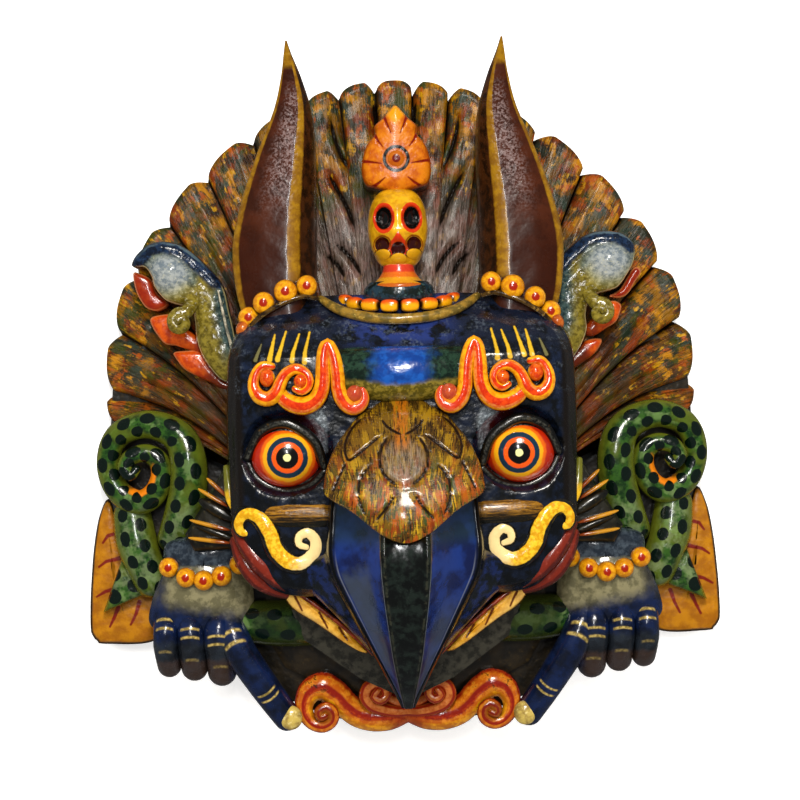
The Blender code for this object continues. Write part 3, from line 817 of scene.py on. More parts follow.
def haloColumns():
    # angle, share across its feather from -1 to 1, half width and seed of each column
    crest = [halo["crestPitch"] * (i + 0.5) for i in range(3)]
    count = int((halo["endAngle"] - crest[-1]) / halo["sidePitch"])
    edges = crest + [crest[-1] + halo["sidePitch"] * (i + 1) for i in range(count)] + [halo["endAngle"]]
    edges = [-edge for edge in reversed(edges)] + edges
    random = np.random.default_rng(halo["seed"])
    columns = []
    for left, right in zip(edges, edges[1:]):
        seed = random.uniform(0, 10)
        for share in np.linspace(-1, 1, halo["columns"], endpoint=False):
            columns.append(((left + right) / 2 + share * (right - left) / 2, share, (right - left) / 2, seed))
    return columns + [(edges[-1], 1.0, 6.0, columns[-1][3])]


def makeHalo(paint, wood, cutter):
    # flutes side by side with scalloped tips; each column is a loop from the inner edge round the rim
    columns = haloColumns()
    crestEnd = halo["crestPitch"] * 2.5 + 0.01
    t = np.linspace(0, 1, halo["rows"])
    ring = len(t) + 5  # three points down the rim and two at the inner edge close the loop
    points, values = [], {key: [] for key in ("alongMm", "acrossMm", "share", "seed", "crest", "groove",
                                              "wall")}
    for angleDeg, share, half, seed in columns:
        angle = math.radians(angleDeg)
        onCrest = abs(angleDeg) <= crestEnd
        lap = share * (1 if angleDeg > 0 else -1)  # -1 on the side of the crest, 1 on the side away from it
        peak = -0.42 if abs(angleDeg) > halo["crestPitch"] / 2 else 0.0
        fall = max(0.0, (peak - lap) / (1 + peak))
        away = max(0.0, (lap - peak) / (1 - peak))
        reach = halo["radius"] - halo["scallop"] * (0.95 * fall**1.6 + 0.62 * away**3.2)
        reach += halo["crestRise"] * onCrest - halo["shoulderCut"] * math.sin(2 * angle) ** 2
        outer = np.array((reach * math.sin(angle), halo["centreY"] + reach * math.cos(angle)))
        inner = np.array((100 * math.sin(angle), -45 + 60 * math.cos(angle)))
        line = inner + (outer - inner) * t[:, None]
        line[:, 1] += 8 * abs(math.sin(angle)) * np.sin(math.pi * t)
        fade = np.clip((t - 0.72) / 0.12, 0, 1) if onCrest else np.ones_like(t)
        edgeCut = np.exp(-(((1 - abs(share)) / 0.07) ** 1.1)) * fade
        bevel = 0.8 * fall**1.3 * fade  # the face that dips under the next feather
        crease = np.exp(-(((lap - 0.05) / 0.06) ** 2)) * np.clip((0.82 - t) / 0.1, 0, 1)
        crease = crease * (0.15 if onCrest else 0.4)
        depth = halo["groove"] * (0.35 + 0.4 * t) * np.maximum(np.maximum(edgeCut, bevel), crease * fade)
        z = halo["board"] + halo["innerRise"] * (1 - t) ** 1.3 - depth + halo["lap"] * lap * fade
        z -= halo["rimDrop"] * np.clip((t - 0.982) / 0.018, 0, 1) ** 2
        rim = [(*outer, z[-1] - 2), (*outer, 10.0), (*outer, 0.0)]
        points.append(np.vstack([np.column_stack([line, z]), rim, [(*inner, 0.0), (*inner, z[0] - 3)]]))
        cut = np.maximum(np.maximum(edgeCut, crease * 0.9), bevel * 0.8)
        length = np.linalg.norm(outer - inner)
        values["alongMm"].append(np.append(t * length, [length] * 3 + [0, 0]))
        values["acrossMm"].append(share * np.radians(half) * np.append(60 + t * 130, [190] * 3 + [60] * 2))
        values["share"].append(np.append(t, [1, 1, 1, 0, 0]))
        values["groove"].append(np.append(cut, [cut[-1], 0, 0, 0, 0]))
        values["wall"].append(np.append(t * 0, [0.6, 1, 1, 1, 1]))
        values["seed"].append(np.full(ring, seed))
        values["crest"].append(np.full(ring, float(abs(angleDeg) < crestEnd + 4)))
    values = {key: np.concatenate(found) for key, found in values.items()}
    shape = Shape().add(np.vstack(points), ringFaces(len(columns), ring), **values)
    top = shape.points[:, 2] > 20
    kept = shape.points[~top].copy()
    incise(shape, bothWays(halo["veins"]), 1.7, 4.0)
    shape.points[~top] = kept
    hollowed(shape.roughened(13, 0.35, 5).piece("featherHalo", paint, wood, sharp=50), cutter)


hollow = {"width": 184.0, "height": 190.0, "depth": 92.0, "centreY": -36.0, "sides": 72, "squareness": 0.8}


def hollowCutter(wood):
    # the hollow of the back as a solid that is taken out of the pieces it reaches
    angles = np.arange(hollow["sides"]) * turnFull / hollow["sides"]
    cos, sin = np.cos(angles), np.sin(angles)
    levels = [(1.02, -1.0 / hollow["depth"])]
    levels += [(math.cos(turn) ** 0.55 if turn < 1.5 else 0.05, math.sin(turn))
               for turn in np.linspace(0, 1.5, 18)]
    rows = []
    for share, height in levels:
        x = hollow["width"] / 2 * share * np.sign(cos) * abs(cos) ** hollow["squareness"]
        y = hollow["centreY"] + hollow["height"] / 2 * share * np.sign(sin) * abs(sin) ** hollow["squareness"]
        rows.append(np.column_stack([x, y, np.full(len(x), hollow["depth"] * height)]))
    mesh = newMesh("hollowCutter", np.vstack(rows), ringFaces(len(rows), hollow["sides"]), wood)
    turnOutwards(mesh)
    made = newObject("hollowCutter", mesh)
    made.hide_render = True
    return made


def hollowed(made, cutter):
    cut = made.modifiers.new("hollow", "BOOLEAN")
    cut.operation = "DIFFERENCE"
    cut.solver = "MANIFOLD"
    cut.object = cutter
    return settled(made)


# floor and front heights, and the right half of each outline
board = {
    "heights": (0.0, 26.0, 26.5),
    "half": [(0, 100), (150, 60), (192, 10), (196, -45), (190, -75), (196, -108), (163, -150), (158, -172),
             (122, -176), (100, -180), (82, -205), (64, -208), (44, -206), (22, -217), (0, -214)],
}
handBlock = {
    "heights": (1.0, 44.0, 44.5),
    "half": [(0, -90), (120, -90), (150, -105), (160, -150), (154, -172), (122, -176), (102, -172),
             (84, -200), (70, -204), (56, -214), (20, -219), (0, -210)],
    "chinHeights": (1.5, 50, 53),
    "chinHalf": [(0, -110), (92, -118), (92, -160), (80, -180), (60, -190), (24, -200), (0, -204)],
}


def makeBoard(paint, wood, cutter):
    outline = resampled(bothHalves(board["half"]), 4.0)
    shape = addForm(Shape(), outline, [(0, 60), (0, -60)], *board["heights"], rings=8, closed=False)
    hollowed(shape.piece("board", paint, wood), cutter)
    outline = resampled(bothHalves(handBlock["half"]), 4.0)
    shape = addForm(Shape(), outline, [(-60, -140), (60, -140)], *handBlock["heights"], rings=8, closed=False)
    outline = resampled(bothHalves(handBlock["chinHalf"]), 3.0)
    addForm(shape, outline, [(-40, -150), (40, -150)], *handBlock["chinHeights"], rings=10, closed=False)
    hollowed(shape.piece("handBlock", paint), cutter)


head = {
    "half": [(0, 62), (50, 62), (88, 53), (108, 34), (112, 0), (112, -45), (110, -86), (98, -112), (74, -130),
             (0, -130)],
    "middle": -30.0,
    # share of the way out from the middle, height of the front there, and fall towards the back of the crown
    "front": [(0, 117.5), (0.55, 117), (0.7, 116), (0.82, 114), (0.93, 108), (0.985, 98), (1.0, 84)],
    "fall": [(0, 30), (0.93, 30), (0.985, 22), (1.0, 10)],
    "side": [(0.98, 2.0), (0.985, 20.0), (0.99, 45.0), (0.995, 70.0)],
    "socket": ((76, -38, 121), (33, 28, 20)),
}


def headHeight(x, y, share):
    fall = np.interp(share, *zip(*head["fall"])) * np.clip((y - 22) / 40, 0, 1)
    z = np.interp(share, *zip(*head["front"])) - fall
    (cx, cy, cz), (rx, ry, rz) = head["socket"]
    inside = 1 - ((np.abs(x) - cx) / rx) ** 2 - ((y - cy) / ry) ** 2
    bowl = cz - rz * np.sqrt(np.clip(inside, 0, 1))
    return np.where(inside > 0, np.minimum(z, bowl), z)


def makeHead(paint, cutter):
    outline = smoothPath(bothHalves(head["half"]), 2.5, closed=True)
    fronts = [(share, None) for share in np.sin(np.linspace(0.03, math.pi / 2, 80))[::-1]]
    rows = []
    for share, height in head["side"] + fronts:
        x = outline[:, 0] * share
        y = head["middle"] + (outline[:, 1] - head["middle"]) * share
        z = headHeight(x, y, share) if height is None else np.full(len(x), height)
        rows.append(np.column_stack([x, y, z]))
    shape = Shape().add(np.vstack(rows), ringFaces(len(rows), len(outline)))
    hollowed(shape.roughened(9, 0.3, 8).piece("head", paint), cutter)


def headPaint():
    coat = Coat("headPaint")
    x, y = abs(coat.x), coat.y
    coat.colour = coat.mottled(9.0, 0.42, 0.64, "#040609", "#0c1424")
    # painted shade: the sides of the head, turned away from the light, dark brown-black
    coat.wash(x.ease(99, 103), "#0e0906")
    strip = (x - 97.0).band(0, 3.5, 2) * (y - 5.0).band(0, 22, 12)
    coat.wash(strip * coat.noise(5.0).ease(0.4, 0.6), "#141e34")
    purple = mixed(x.ease(44, 16), "#121828", "#1f2f68")
    coat.wash(y.ease(26, 34) * coat.noise(10.0).ease(0.4, 0.55) * 0.9, purple)
    speckle = coat.noise(1.9, 3.0, 0.7).ease(0.46, 0.6)
    wedge = strokes(coat, [[(55, -13), (51, -20), (50, -36)]], 11.0, 0.4, 1.5, 1.0)
    coat.wash(wedge * (0.3 + speckle * 0.7), "#7d868c")
    glint = coat.noise(12.0).ease(0.52, 0.62) * speckle * y.ease(-5, 5)
    coat.wash(glint * 0.35, "#5a6470")
    hairs = forehead["hairs"]
    coat.wash(strokes(coat, hairs, 5.4, 0.3, 0.5, 0.5), "#0a0604")
    coat.wash(strokes(coat, hairs[:4], 3.2, 0.35, 0.4, 0.5), "#c9a01f")
    coat.wash(strokes(coat, hairs[4:], 2.4, 0.4, 0.4, 0.5) * 0.5, "#8a8450")
    return coat.finish(roughness=0.22, grain=0.6, grainSize=1.9)


forehead = {
    "roll": [(-43, 12, 105, 16), (-24, 11, 111, 17), (0, 10, 114, 18), (24, 11, 111, 17), (43, 12, 105, 16)],
    "hairs": [[(82.5, 21), (79.5, 37)], [(77.5, 21), (75.5, 28), (72.5, 39)], [(68.5, 20), (67.5, 26),
              (64, 37)], [(60.5, 19), (60.3, 25), (57.5, 38)], [(91.5, 21), (88, 31)]],
}


def makeForehead():
    coat = Coat("foreheadPaint")
    x, y = abs(coat.x), coat.y
    blue = coat.mottled(6.0, 0.4, 0.62, "#0a3278", "#154a98")
    side = coat.mottled(5.0, 0.42, 0.62, "#07160f", "#1d3426", 3.0, 0.65)
    coat.colour = mixed((x + coat.uneven(7.0, 14)).ease(11, 24), blue, side)
    olive = coat.mottled(3.0, 0.42, 0.6, "#4a4210", "#7a6a24")
    edge = y + coat.uneven(6.0, 6) - x * 0.1
    coat.wash(edge.ease(5.5, 2.0), olive)
    coat.wash(y.ease(28, 31), mixed(x.ease(40, 15), "#121828", "#1f2f68"))
    coat.wash(x.ease(38, 44) * 0.8, "#0a0c10")
    paint = coat.finish(0.2, roughness=0.16, grain=0.5, grainSize=2.2)
    addBand(Shape(), forehead["roll"], sides=64).roughened(10, 0.4, 21).piece("foreheadRoll", paint)


# Brows, eyes and lids

brows = {
    # x, y, z and half width along each scroll
    "curl": [(81, 16.8, 118, 2.4), (87, 17.2, 118, 3), (91.4, 12, 118, 3.3), (92.6, 4.4, 119, 3.9),
             (89.4, -1.6, 120, 4.8), (83.5, -3.4, 120, 5), (78.4, 0.2, 121, 4.8), (75.6, 6.6, 121, 4.2),
             (72, 12, 121, 3.9), (66.4, 14.8, 122, 3.7), (60.8, 13, 122, 3.4), (57.8, 8.4, 123, 3.2),
             (58.6, 3.4, 123, 3), (62.6, 0.6, 123, 2.6), (66.6, 2.4, 123, 2.2)],
    "main": [(76.5, 0, 118, 4.6), (73.4, -4, 119, 5.2), (67, -7.6, 120, 5.8), (60, -8.2, 121, 6),
             (53.8, -5, 122, 5.6), (50.2, 1.4, 123, 5.2), (49, 9, 123, 5), (48.8, 18, 123, 4.7),
             (48, 26, 122.5, 4.2), (46, 30, 122, 3.8), (43.8, 27, 122.5, 4.2), (41.4, 20, 123.5, 4.5),
             (40, 10, 124, 4.6), (39.4, 1.4, 124, 4.8), (36.6, -6, 124, 5), (31.4, -10.4, 124, 4.8),
             (26.4, -9, 124, 4.3), (23.6, -4.4, 124, 3.6), (24.6, 0.8, 124, 2.8)],
    "balls": [
        ((29.4, -1.4, 124.5), (5.4, 5.4, 5)),
        ((63, 7, 123.5), (4.4, 4.6, 4.6)),
        ((84, 9.6, 119), (5, 5.8, 5.4)),
    ],
}


def browPaint():
    coat = Coat("browPaint")
    across = coat.attribute("across") + coat.uneven(5.0, 0.16)
    red = coat.mottled(4.0, 0.4, 0.6, "#b02404", "#c93c08")
    light = coat.mottled(3.0, 0.4, 0.6, "#c04c12", "#cc7838")
    yellow = coat.mottled(4.0, 0.4, 0.6, "#c87a04", "#e09c10")
    side = across * coat.attribute("way")  # grows towards the outer edge of the curl
    coat.colour = layered(side, ["#8a3a08", (-0.88, yellow), (-0.72, light), (-0.42, red), (0.36, yellow)],
                          0.06)
    # painted highlight: a pinkish sheen on the inner ends of the brows
    pinkish = abs(coat.x).ease(38, 28) * abs(across).ease(0.9, 0.6)
    coat.wash(pinkish * 0.55, "#b8402c")
    # painted shade along the edges of the band, where it meets the surface below
    coat.wash(abs(across).ease(0.94, 1.0), "#3a1404")
    return coat.finish(0.14, roughness=0.13, grain=0.45, lacquer=1.0)


def ballPaint():
    coat = Coat("browBallPaint")
    x = abs(coat.x)
    coat.colour = coat.mottled(3.0, 0.4, 0.6, "#b43006", "#cc5c12")
    coat.wash(x.ease(40, 34) * 0.7, "#963a2a")
    coat.wash(x.ease(80.5, 79.5) * x.ease(72, 74), "#e0a018")
    return coat.finish(0.15, roughness=0.12, grain=0.4, lacquer=1.0)


def makeBrows():
    shape = addBand(Shape(), brows["curl"], sides=32, way=-1.0)
    addBand(shape, brows["main"], sides=32, way=1.0).mirrored().piece("browScrolls", browPaint())
    shape = Shape()
    for centre, radii in brows["balls"]:
        addBall(shape, centre, radii)
    shape.mirrored().piece("browBalls", ballPaint())


eyes = {"centre": (73.5, -39.5, 100), "radii": (23.5, 21.5, 23), "aim": (72.5, -40.5)}
lids = [
    # sides and line of each fold round the eye
    (20, [(50, -46, 114, 2.8), (56, -30, 116, 3.2), (73, -19, 116, 3.4), (89, -24, 113, 3.2),
          (98, -40, 108, 2.8)]),
    (16, [(52, -45, 112.5, 1.7), (58.5, -32.5, 113.5, 2), (73, -23.5, 113.5, 2.1), (87, -28, 111, 2),
          (94.5, -41, 106.5, 1.7)]),
    (20, [(50, -50, 112, 2.6), (60, -59, 110, 2.8), (76, -62, 108, 2.8), (91, -55, 106, 2.8),
          (98, -44, 105, 2.6)]),
    (16, [(52, -50, 110.5, 1.5), (61, -56, 108.5, 1.8), (76, -58, 106.5, 1.8), (89, -52.5, 105, 1.8),
          (95, -44, 104, 1.5)]),
]
cheekRoll = [(91, -75, 104, 6), (84, -76, 106.5, 9), (73, -77, 108.8, 10), (50, -77.5, 110, 10)]


def eyePaint():
    coat = Coat("eyePaint")
    uneven = coat.uneven(2.4, 1.2, 2.0)
    away = ((abs(coat.x) - eyes["aim"][0]) ** 2 + (coat.y - eyes["aim"][1]) ** 2) ** 0.5 + uneven * 0.6
    ring = coat.uneven(6.0, 2.0, 2.0, 0.5)
    outerRings = layered(away + ring, ["#d89a14", (15.4, "#cf5a0c"), (17.4, "#a82006")], 0.7)
    stops = ["#d8d894", (2.4, "#050505"), (7.0, "#d8500f"), (9.8, "#0f2a3c")]
    coat.colour = layered(away, stops + [(12.9, outerRings), (23.0, "#0c0705")], 0.28)
    return coat.finish(0.16, roughness=0.12, spread=0.08, grain=0.2, lacquer=1.0)


def lidPaint():
    coat = Coat("lidPaint")
    # painted sheen: grey specks on the tops of the lid bands, over near-black
    wearAndSheen = coat.noise(1.7, 3.0, 0.7).ease(0.42, 0.6)
    coat.colour = mixed(abs(coat.attribute("across")).ease(0.5, 0.2) * wearAndSheen * 0.5, "#060605", "#4a4a42")
    coat.wash(coat.dabs(5.0, 0.6, 0.7, 0.6, 8.0), "#4a3410")
    return coat.finish(roughness=0.24, grain=0.6, grainSize=1.6)


def rollPaint():
    coat = Coat("cheekRollPaint")
    fibre = coat.threads(coat.x / 16.0, coat.y / 1.1, 0.0)
    gold = mixed(fibre.ease(0.42, 0.6), "#4a2c08", "#a0701c")
    coat.colour = mixed((coat.y + (fibre - 0.5) * 14).ease(-82, -73), "#10100c", gold)
    return coat.finish(roughness=0.18, grain=0.4, relief=fibre * 0.4)


def makeEyes():
    addBall(Shape(), eyes["centre"], eyes["radii"], 72, 48).mirrored().piece("eyes", eyePaint())
    shape = Shape()
    for sides, line in lids:
        addBand(shape, line, sides=sides)
    shape.mirrored().piece("lids", lidPaint())
    addBand(Shape(), cheekRoll, sides=40).mirrored().piece("cheekRolls", rollPaint())


# Beak and cere

beak = {
    # y, ridge height, ridge half-width, outer ridge half-width, lip half-width, lip drop
    "stations": [
        (-58, 152, 12, 44, 48, 52),
        (-84, 160, 12.6, 46, 50, 58),
        (-99, 163.4, 12.8, 47, 52, 61),
        (-108, 163.5, 12.6, 46, 79, 62),
        (-114, 162.5, 12.4, 44.5, 78, 62),
        (-121, 160.6, 11.8, 41.5, 70, 61),
        (-131, 157.6, 11, 36.5, 57, 58),
        (-150, 148, 9, 27, 38, 48),
        (-168, 135, 7, 18, 22, 36),
        (-186, 119, 4.2, 9.2, 11.6, 24),
        (-198, 103.5, 2.2, 3.8, 4.8, 11),
        (-202.5, 97.5, 1.3, 2.0, 2.8, 6),
    ],
}


def beakSection(row):
    y, top, ridge, outer, lip, drop = row
    crease = (ridge + outer) / 2
    dip = min(2.0, ridge * 0.22)
    right = [
        (ridge * 0.55, top - dip, 0.5),
        (ridge * 0.86, top - dip * 0.6, 0.86),
        (ridge, top + 0.3, 1.0),
        (ridge * 1.1 + 0.8, top - 0.4, 1.2),
        (ridge * 1.16 + 1.5, top - 3.4, 1.5),
        (crease, top - drop * 0.36, 2.0),
        (outer * 0.96, top - drop * 0.55, 2.9),
        (outer + 0.6, top - drop * 0.52, 3.1),
        (outer + 2.6, top - drop * 0.66, 3.5),
        (lip * 0.7 + outer * 0.3, top - drop * 0.86, 4.2),
        (lip, top - drop, 5.0),
        (lip * 0.94, top - drop - 16, 6.0),
    ]
    return [(x, z, zone) for x, z, zone in right] + [(-x, z, zone) for x, z, zone in reversed(right)]


def beakPaint():
    coat = Coat("beakPaint")
    zone = coat.attribute("zone") + coat.uneven(5.0, 0.12)
    strip = coat.mottled(6.0, 0.42, 0.64, "#040605", "#141c18")
    plane = coat.mottled(14.0, 0.38, 0.62, "#0a1640", "#142c6c", 3.0, 0.55)
    plane = mixed(coat.y.ease(-100, -88) * 0.6, plane, "#1a2c2c")
    wing = coat.mottled(9.0, 0.42, 0.6, "#080d10", "#12204a")
    coat.colour = layered(zone, [strip, (1.38, plane), (2.9, "#050606"), (3.5, wing)], 0.07)
    edge = zone.band(1.04, 0.07, 0.07) * coat.noise(3.0).ease(0.42, 0.58)
    coat.wash(edge * 0.5, "#3a3a2c")
    # painted sheen: a broad grey reflection on the planes towards the tip, stronger on the left
    facetSheen = (coat.x * 0.3 - coat.y + coat.uneven(9.0, 16)).ease(96, 108) * zone.band(2.25, 0.5, 0.1)
    left = coat.x.ease(0, -4) * coat.y.ease(-182, -168)
    right = coat.x.ease(0, 4) * coat.y.ease(-120, -150) * 0.7
    coat.wash(facetSheen * left.most(right) * 0.75, "#3a4350")
    ridges = coat.attribute("zone")
    glints = ridges.band(1.3, 0.03, 0.03).most(ridges.band(2.86, 0.03, 0.03))
    coat.wash(glints * coat.y.ease(-96, -116) * 0.5, "#8a9098")
    dull = coat.y.ease(-146, -160) * zone.band(2.0, 0.95, 0.1)  # the lower planes would mirror the red chin
    return coat.finish(roughness=dull * 0.4 + 0.17, spread=0.1, grainSize=2.2, lacquer=dull * -0.7 + 0.7)


def makeBeak():
    shape = addLoft(Shape(), beak["stations"], beakSection, step=1.6, parts=6, passes=3)
    shape.roughened(16, 0.6, 31).piece("beak", beakPaint())


cere = {
    # y, height and half width
    "stations": [
        (-6.5, 121, 13),
        (-14, 131, 26),
        (-24, 141, 35),
        (-34, 149, 42),
        (-45, 156, 47),
        (-56, 161.5, 49.5),
        (-64, 165, 48.5),
        (-73.5, 168, 33),
        (-80.5, 169, 24),
        (-86, 169, 17),
        (-90.5, 168.5, 9),
        (-92.5, 168, 3),
    ],
    "medallion": (0, -42, 15.5, 17),
    "low": 100,
    # carved lines of the right half
    "ring": [[(7.6, -26.7), (13.2, -34.4), (15, -42.5), (12.6, -50.6), (6.9, -56.2), (2.2, -58.7)]],
    "lines": [
        [(13.5, -17), (10, -22), (4, -26), (0, -27.5)],
        [(10, -25), (20, -32.5), (30, -40.5), (34.5, -42), (36, -34.4), (34, -27), (29, -20), (21.5, -14.5)],
        [(19, -44), (25, -51), (28, -59), (27, -69), (22.5, -78)],
        [(5, -62), (11, -71), (18.5, -79.5)],
        [(35, -43), (40, -53), (44.5, -63)],
    ],
}


def cereSection(row):
    _, top, half = row
    side = top - 26 * (half / 50) ** 1.2
    ring = []
    for share in np.arange(-20, 21) / 20:
        turn = share * math.pi / 2
        ring.append((half * math.sin(turn), side + (top - side) * math.cos(turn) ** 0.9, share))
    return ring + [(half, cere["low"], 1.2), (-half, cere["low"], -1.2)]


def cerePaint():
    coat = Coat("cerePaint")
    x, y = coat.x, coat.y
    fan = x / (1.0 + abs(y + 55) * 0.006)
    hatch = coat.threads(fan / 0.9, y / 9.0, 1.0)
    cross = coat.threads(x / 5.0, y / 0.9, 5.0, 3.0, 0.7) - 0.5
    low = y.ease(-28, -60)
    coat.colour = mixed(hatch.ease(0.42, 0.58), "#160e05", "#4a320a")
    # colour, shift of the pattern, how rare it is, width and length of its patches, strength and place
    for code, shift, level, wide, long, where in (
        ("#66490c", 1.3, 0.64, 6.0, 10.0, 0.9),
        ("#33401a", 4.7, 0.66, 6.0, 12.0, low * 0.9),
        ("#8c6a10", 7.9, 0.68, 4.0, 12.0, 0.9),
        ("#a04a0c", 11.3, 0.69, 5.0, 12.0, low * 0.8),
        ("#6a2208", 15.1, 0.72, 4.0, 10.0, low * 0.8),
        ("#b48c18", 19.7, 0.73, 2.5, 10.0, low * 0.9),
    ):
        place = coat.threads(fan / wide, y / long, shift, 1.0, 0.5)
        hairs = coat.threads(fan / 1.0, y / 10.0, shift + 3.0)
        coat.wash((place * 0.6 + hairs * 0.7 + cross * 0.2).ease(level, level + 0.05) * where, code)
    away = ((x / 15.0) ** 2 + ((y + 43.5) / 15.0) ** 2) ** 0.5
    coat.wash(away.ease(1.05, 0.75) * 0.55, mixed(hatch.ease(0.4, 0.6), "#3a2c1c", "#8a7a68"))
    coat.wash(abs(x + 1.0).ease(6.2, 3.0) * y.ease(-40, -30) * hatch.ease(0.42, 0.55), "#a05a0c")
    # painted shade in the carved lines
    coat.wash(coat.attribute("groove").ease(0.3, 0.75), "#1a0e05")
    return coat.finish(roughness=0.2, grain=0.6, grainSize=1.8, relief=hatch * 0.8)


def makeCere():
    shape = addLoft(Shape(), cere["stations"], cereSection, step=0.9, parts=2, passes=1)
    cx, cy, rx, ry = cere["medallion"]
    away = ((shape.points[:, 0] - cx) / rx) ** 2 + ((shape.points[:, 1] - cy) / ry) ** 2
    shape.points[:, 2] += 1.6 * np.clip(1.05 - away, 0, 0.5) / 0.5 * (shape.points[:, 2] > 118)
    incise(shape, bothWays(cere["ring"]), 1.2, 2.2, taper=0.12)
    incise(shape, bothWays(cere["lines"]), 1.0, 1.9, taper=0.12)
    low = cere["low"]
    shape.points[:, 2] = np.where(shape.points[:, 2] < low + 1, low, shape.points[:, 2])
    shape.piece("cere", cerePaint())


jaw = {
    "half": [(0, -110), (74, -140), (66, -160), (30, -186), (0, -200)],
    "spine": [(-30, -140), (0, -150), (30, -140)],
    "heights": (4, 74, 80),
    "toothSpine": [(70, -131), (58, -141), (46, -150.5), (35, -160)],
    "toothHeights": (58, 87, 92),
    "teeth": [(79, -123.5), (78, -130), (74.5, -136), (69, -141), (60, -146.6), (50.5, -153.4), (40, -161),
              (29.6, -167), (25, -167), (33, -157), (45, -145), (60, -132), (70, -124)],
    "parts": [[(71, -129.5), (66.5, -139)], [(55.5, -140.5), (50.5, -150.5)], [(43, -150.5), (38, -158.5)]],
    "gum": [(87, -115, 87, 1.3), (81, -119, 91, 1.6), (66, -129.5, 93, 1.5), (49, -142.5, 94, 1.4),
            (34, -155.5, 94, 1.2), (22, -168, 91, 0.9)],
}


def toothPaint():
    coat = Coat("toothPaint")
    x, y = abs(coat.x), coat.y
    coat.colour = coat.mottled(5.0, 0.38, 0.62, "#b87c14", "#dba63a")
    coat.wash((x * 0.69 - y * 0.72 + coat.uneven(4.0, 3)).ease(140, 146) * 0.35, "#e8c878")
    coat.wash(strokes(coat, jaw["parts"], 1.7, 0.7, 0.35, 0.3), "#5a2808")
    coat.wash(coat.attribute("rim").ease(1.3, 0.5) * 0.8, "#6a2c08")
    return coat.finish(0.12, roughness=0.15, grain=0.3)


def makeJaw():
    paint = plainPaint("jawPaint", "#1c1b16", "#35332b", wearAndSheen=0.1, roughness=0.2, grain=0.3, grainSize=3.0)
    outline = resampled(bothHalves(jaw["half"]), 2.5)
    shape = addForm(Shape(), outline, jaw["spine"], *jaw["heights"], rings=12, closed=False)
    shape.roughened(8, 0.5, 13).piece("lowerBeak", paint)
    shape = addForm(Shape(), jaw["teeth"], jaw["toothSpine"], *jaw["toothHeights"], rings=16)
    incise(shape, jaw["parts"], 1.0, 1.4, taper=0.2).mirrored().piece("teeth", toothPaint())
    red = plainPaint("gumPaint", "#7e2c0c", "#4a1808", "#a8501c", roughness=0.25)
    addBand(Shape(), jaw["gum"], sides=16).mirrored().piece("gumLines", red)


# Cheeks and gills

cheeks = {
    "scroll": [(98.8, -87.5, 105, 3.6), (103, -87, 105, 4.2), (104.6, -81.6, 106, 4.8),
               (101.6, -76.6, 107, 5.4), (96.5, -75.4, 108, 6), (91.2, -78, 109, 6.8), (87, -83, 110, 7.4),
               (83.8, -89.5, 110, 7.6), (82, -96, 110, 7.6), (78.4, -101.6, 110, 7.6),
               (73, -106, 110, 7.6), (67, -107.2, 110, 7.2), (60.6, -104.2, 110, 6.8),
               (56.4, -98.6, 111, 6.4), (56.8, -91.6, 112, 5.8), (61.6, -88, 113, 5.2),
               (66.2, -90.4, 113.6, 4.4), (66.4, -95, 114, 3.8), (62.4, -96.8, 114, 3)],
    "folds": [
        [(107, -87, 96, 3.4), (100, -97, 101, 5.6), (92, -107, 102.5, 6.6), (83, -116, 101, 6.2),
         (74, -123, 98, 4.4)],
        [(108, -94, 90, 4), (103, -106, 93, 5.6), (95, -117, 93, 6.4), (85, -124, 91, 5.6),
         (76, -128, 88, 4)],
    ],
    "ridge": [(108, -91, 97, 1.2), (102, -101, 101, 1.8), (94, -111.5, 102, 2), (84, -120.5, 100, 2),
              (76, -125.5, 96, 1.6)],
}
gills = {
    "outline": [(108, -36), (116, -48), (142, -90), (136, -101), (104, -100)],
    "spine": [(112, -60), (124, -85)],
    "heights": (6, 71, 74),
    # two ends and half width of each rib and fold
    "ribs": [((126.3, -54), (113.5, -66), 1.5), ((132.2, -60.5), (113.5, -72), 1.5),
             ((138.2, -80.5), (112.5, -87.5), 1.5), ((139, -92), (112.5, -95.7), 1.5)],
    "folds": [((122, -72), (112, -78), 4.4), ((126, -86), (112, -91.5), 3.0)],
    "edge": [(113.4, -47, 84, 2), (112, -58, 88, 2.8), (110.6, -67, 90, 3), (107, -75, 92, 2.2)],
}


def scrollPaint():
    coat = Coat("scrollPaint")
    across = coat.attribute("across") + coat.uneven(5.0, 0.22)
    coat.colour = coat.mottled(6.0, 0.4, 0.62, "#050505", "#1c1a16")
    stripe = coat.mottled(3.0, 0.4, 0.6, "#c08a0c", "#e0b428")
    stripe = mixed(coat.dabs(3.0, 0.6, 0.68, 0.6, 4.0), stripe, "#c8641a")
    stripe = mixed((coat.attribute("along") + coat.uneven(7.0, 24)).ease(62, 74), stripe, "#e3c98c")
    coat.wash(abs(across).ease(0.62, 0.54), stripe)
    return coat.finish(0.15, roughness=0.16, grain=0.5)


def lipPaint():
    coat = Coat("lipPaint")
    across = abs(coat.attribute("across")) + coat.uneven(4.0, 0.2)
    # painted shade: each fold darker towards its sides and darkest at its edges
    coat.colour = layered(across, ["#6c2012", (0.5, "#4a120a"), (0.9, "#160603")], 0.07)
    coat.wash(coat.dabs(3.5, 0.57, 0.68, 0.6, 5.0), "#8a3a2c")
    return coat.finish(0.3, grain=0.4)


def makeCheeks():
    addBand(Shape(), cheeks["scroll"], sides=36).mirrored().piece("cheekScrolls", scrollPaint())
    shape = Shape()
    for line in cheeks["folds"]:
        addBand(shape, line, sides=28)
    shape.mirrored().piece("lipFolds", lipPaint())
    paint = plainPaint("lipRidgePaint", "#b8501c", "#8a3010", "#d88a3a", roughness=0.2)
    addBand(Shape(), cheeks["ridge"], sides=16).mirrored().piece("lipRidges", paint)


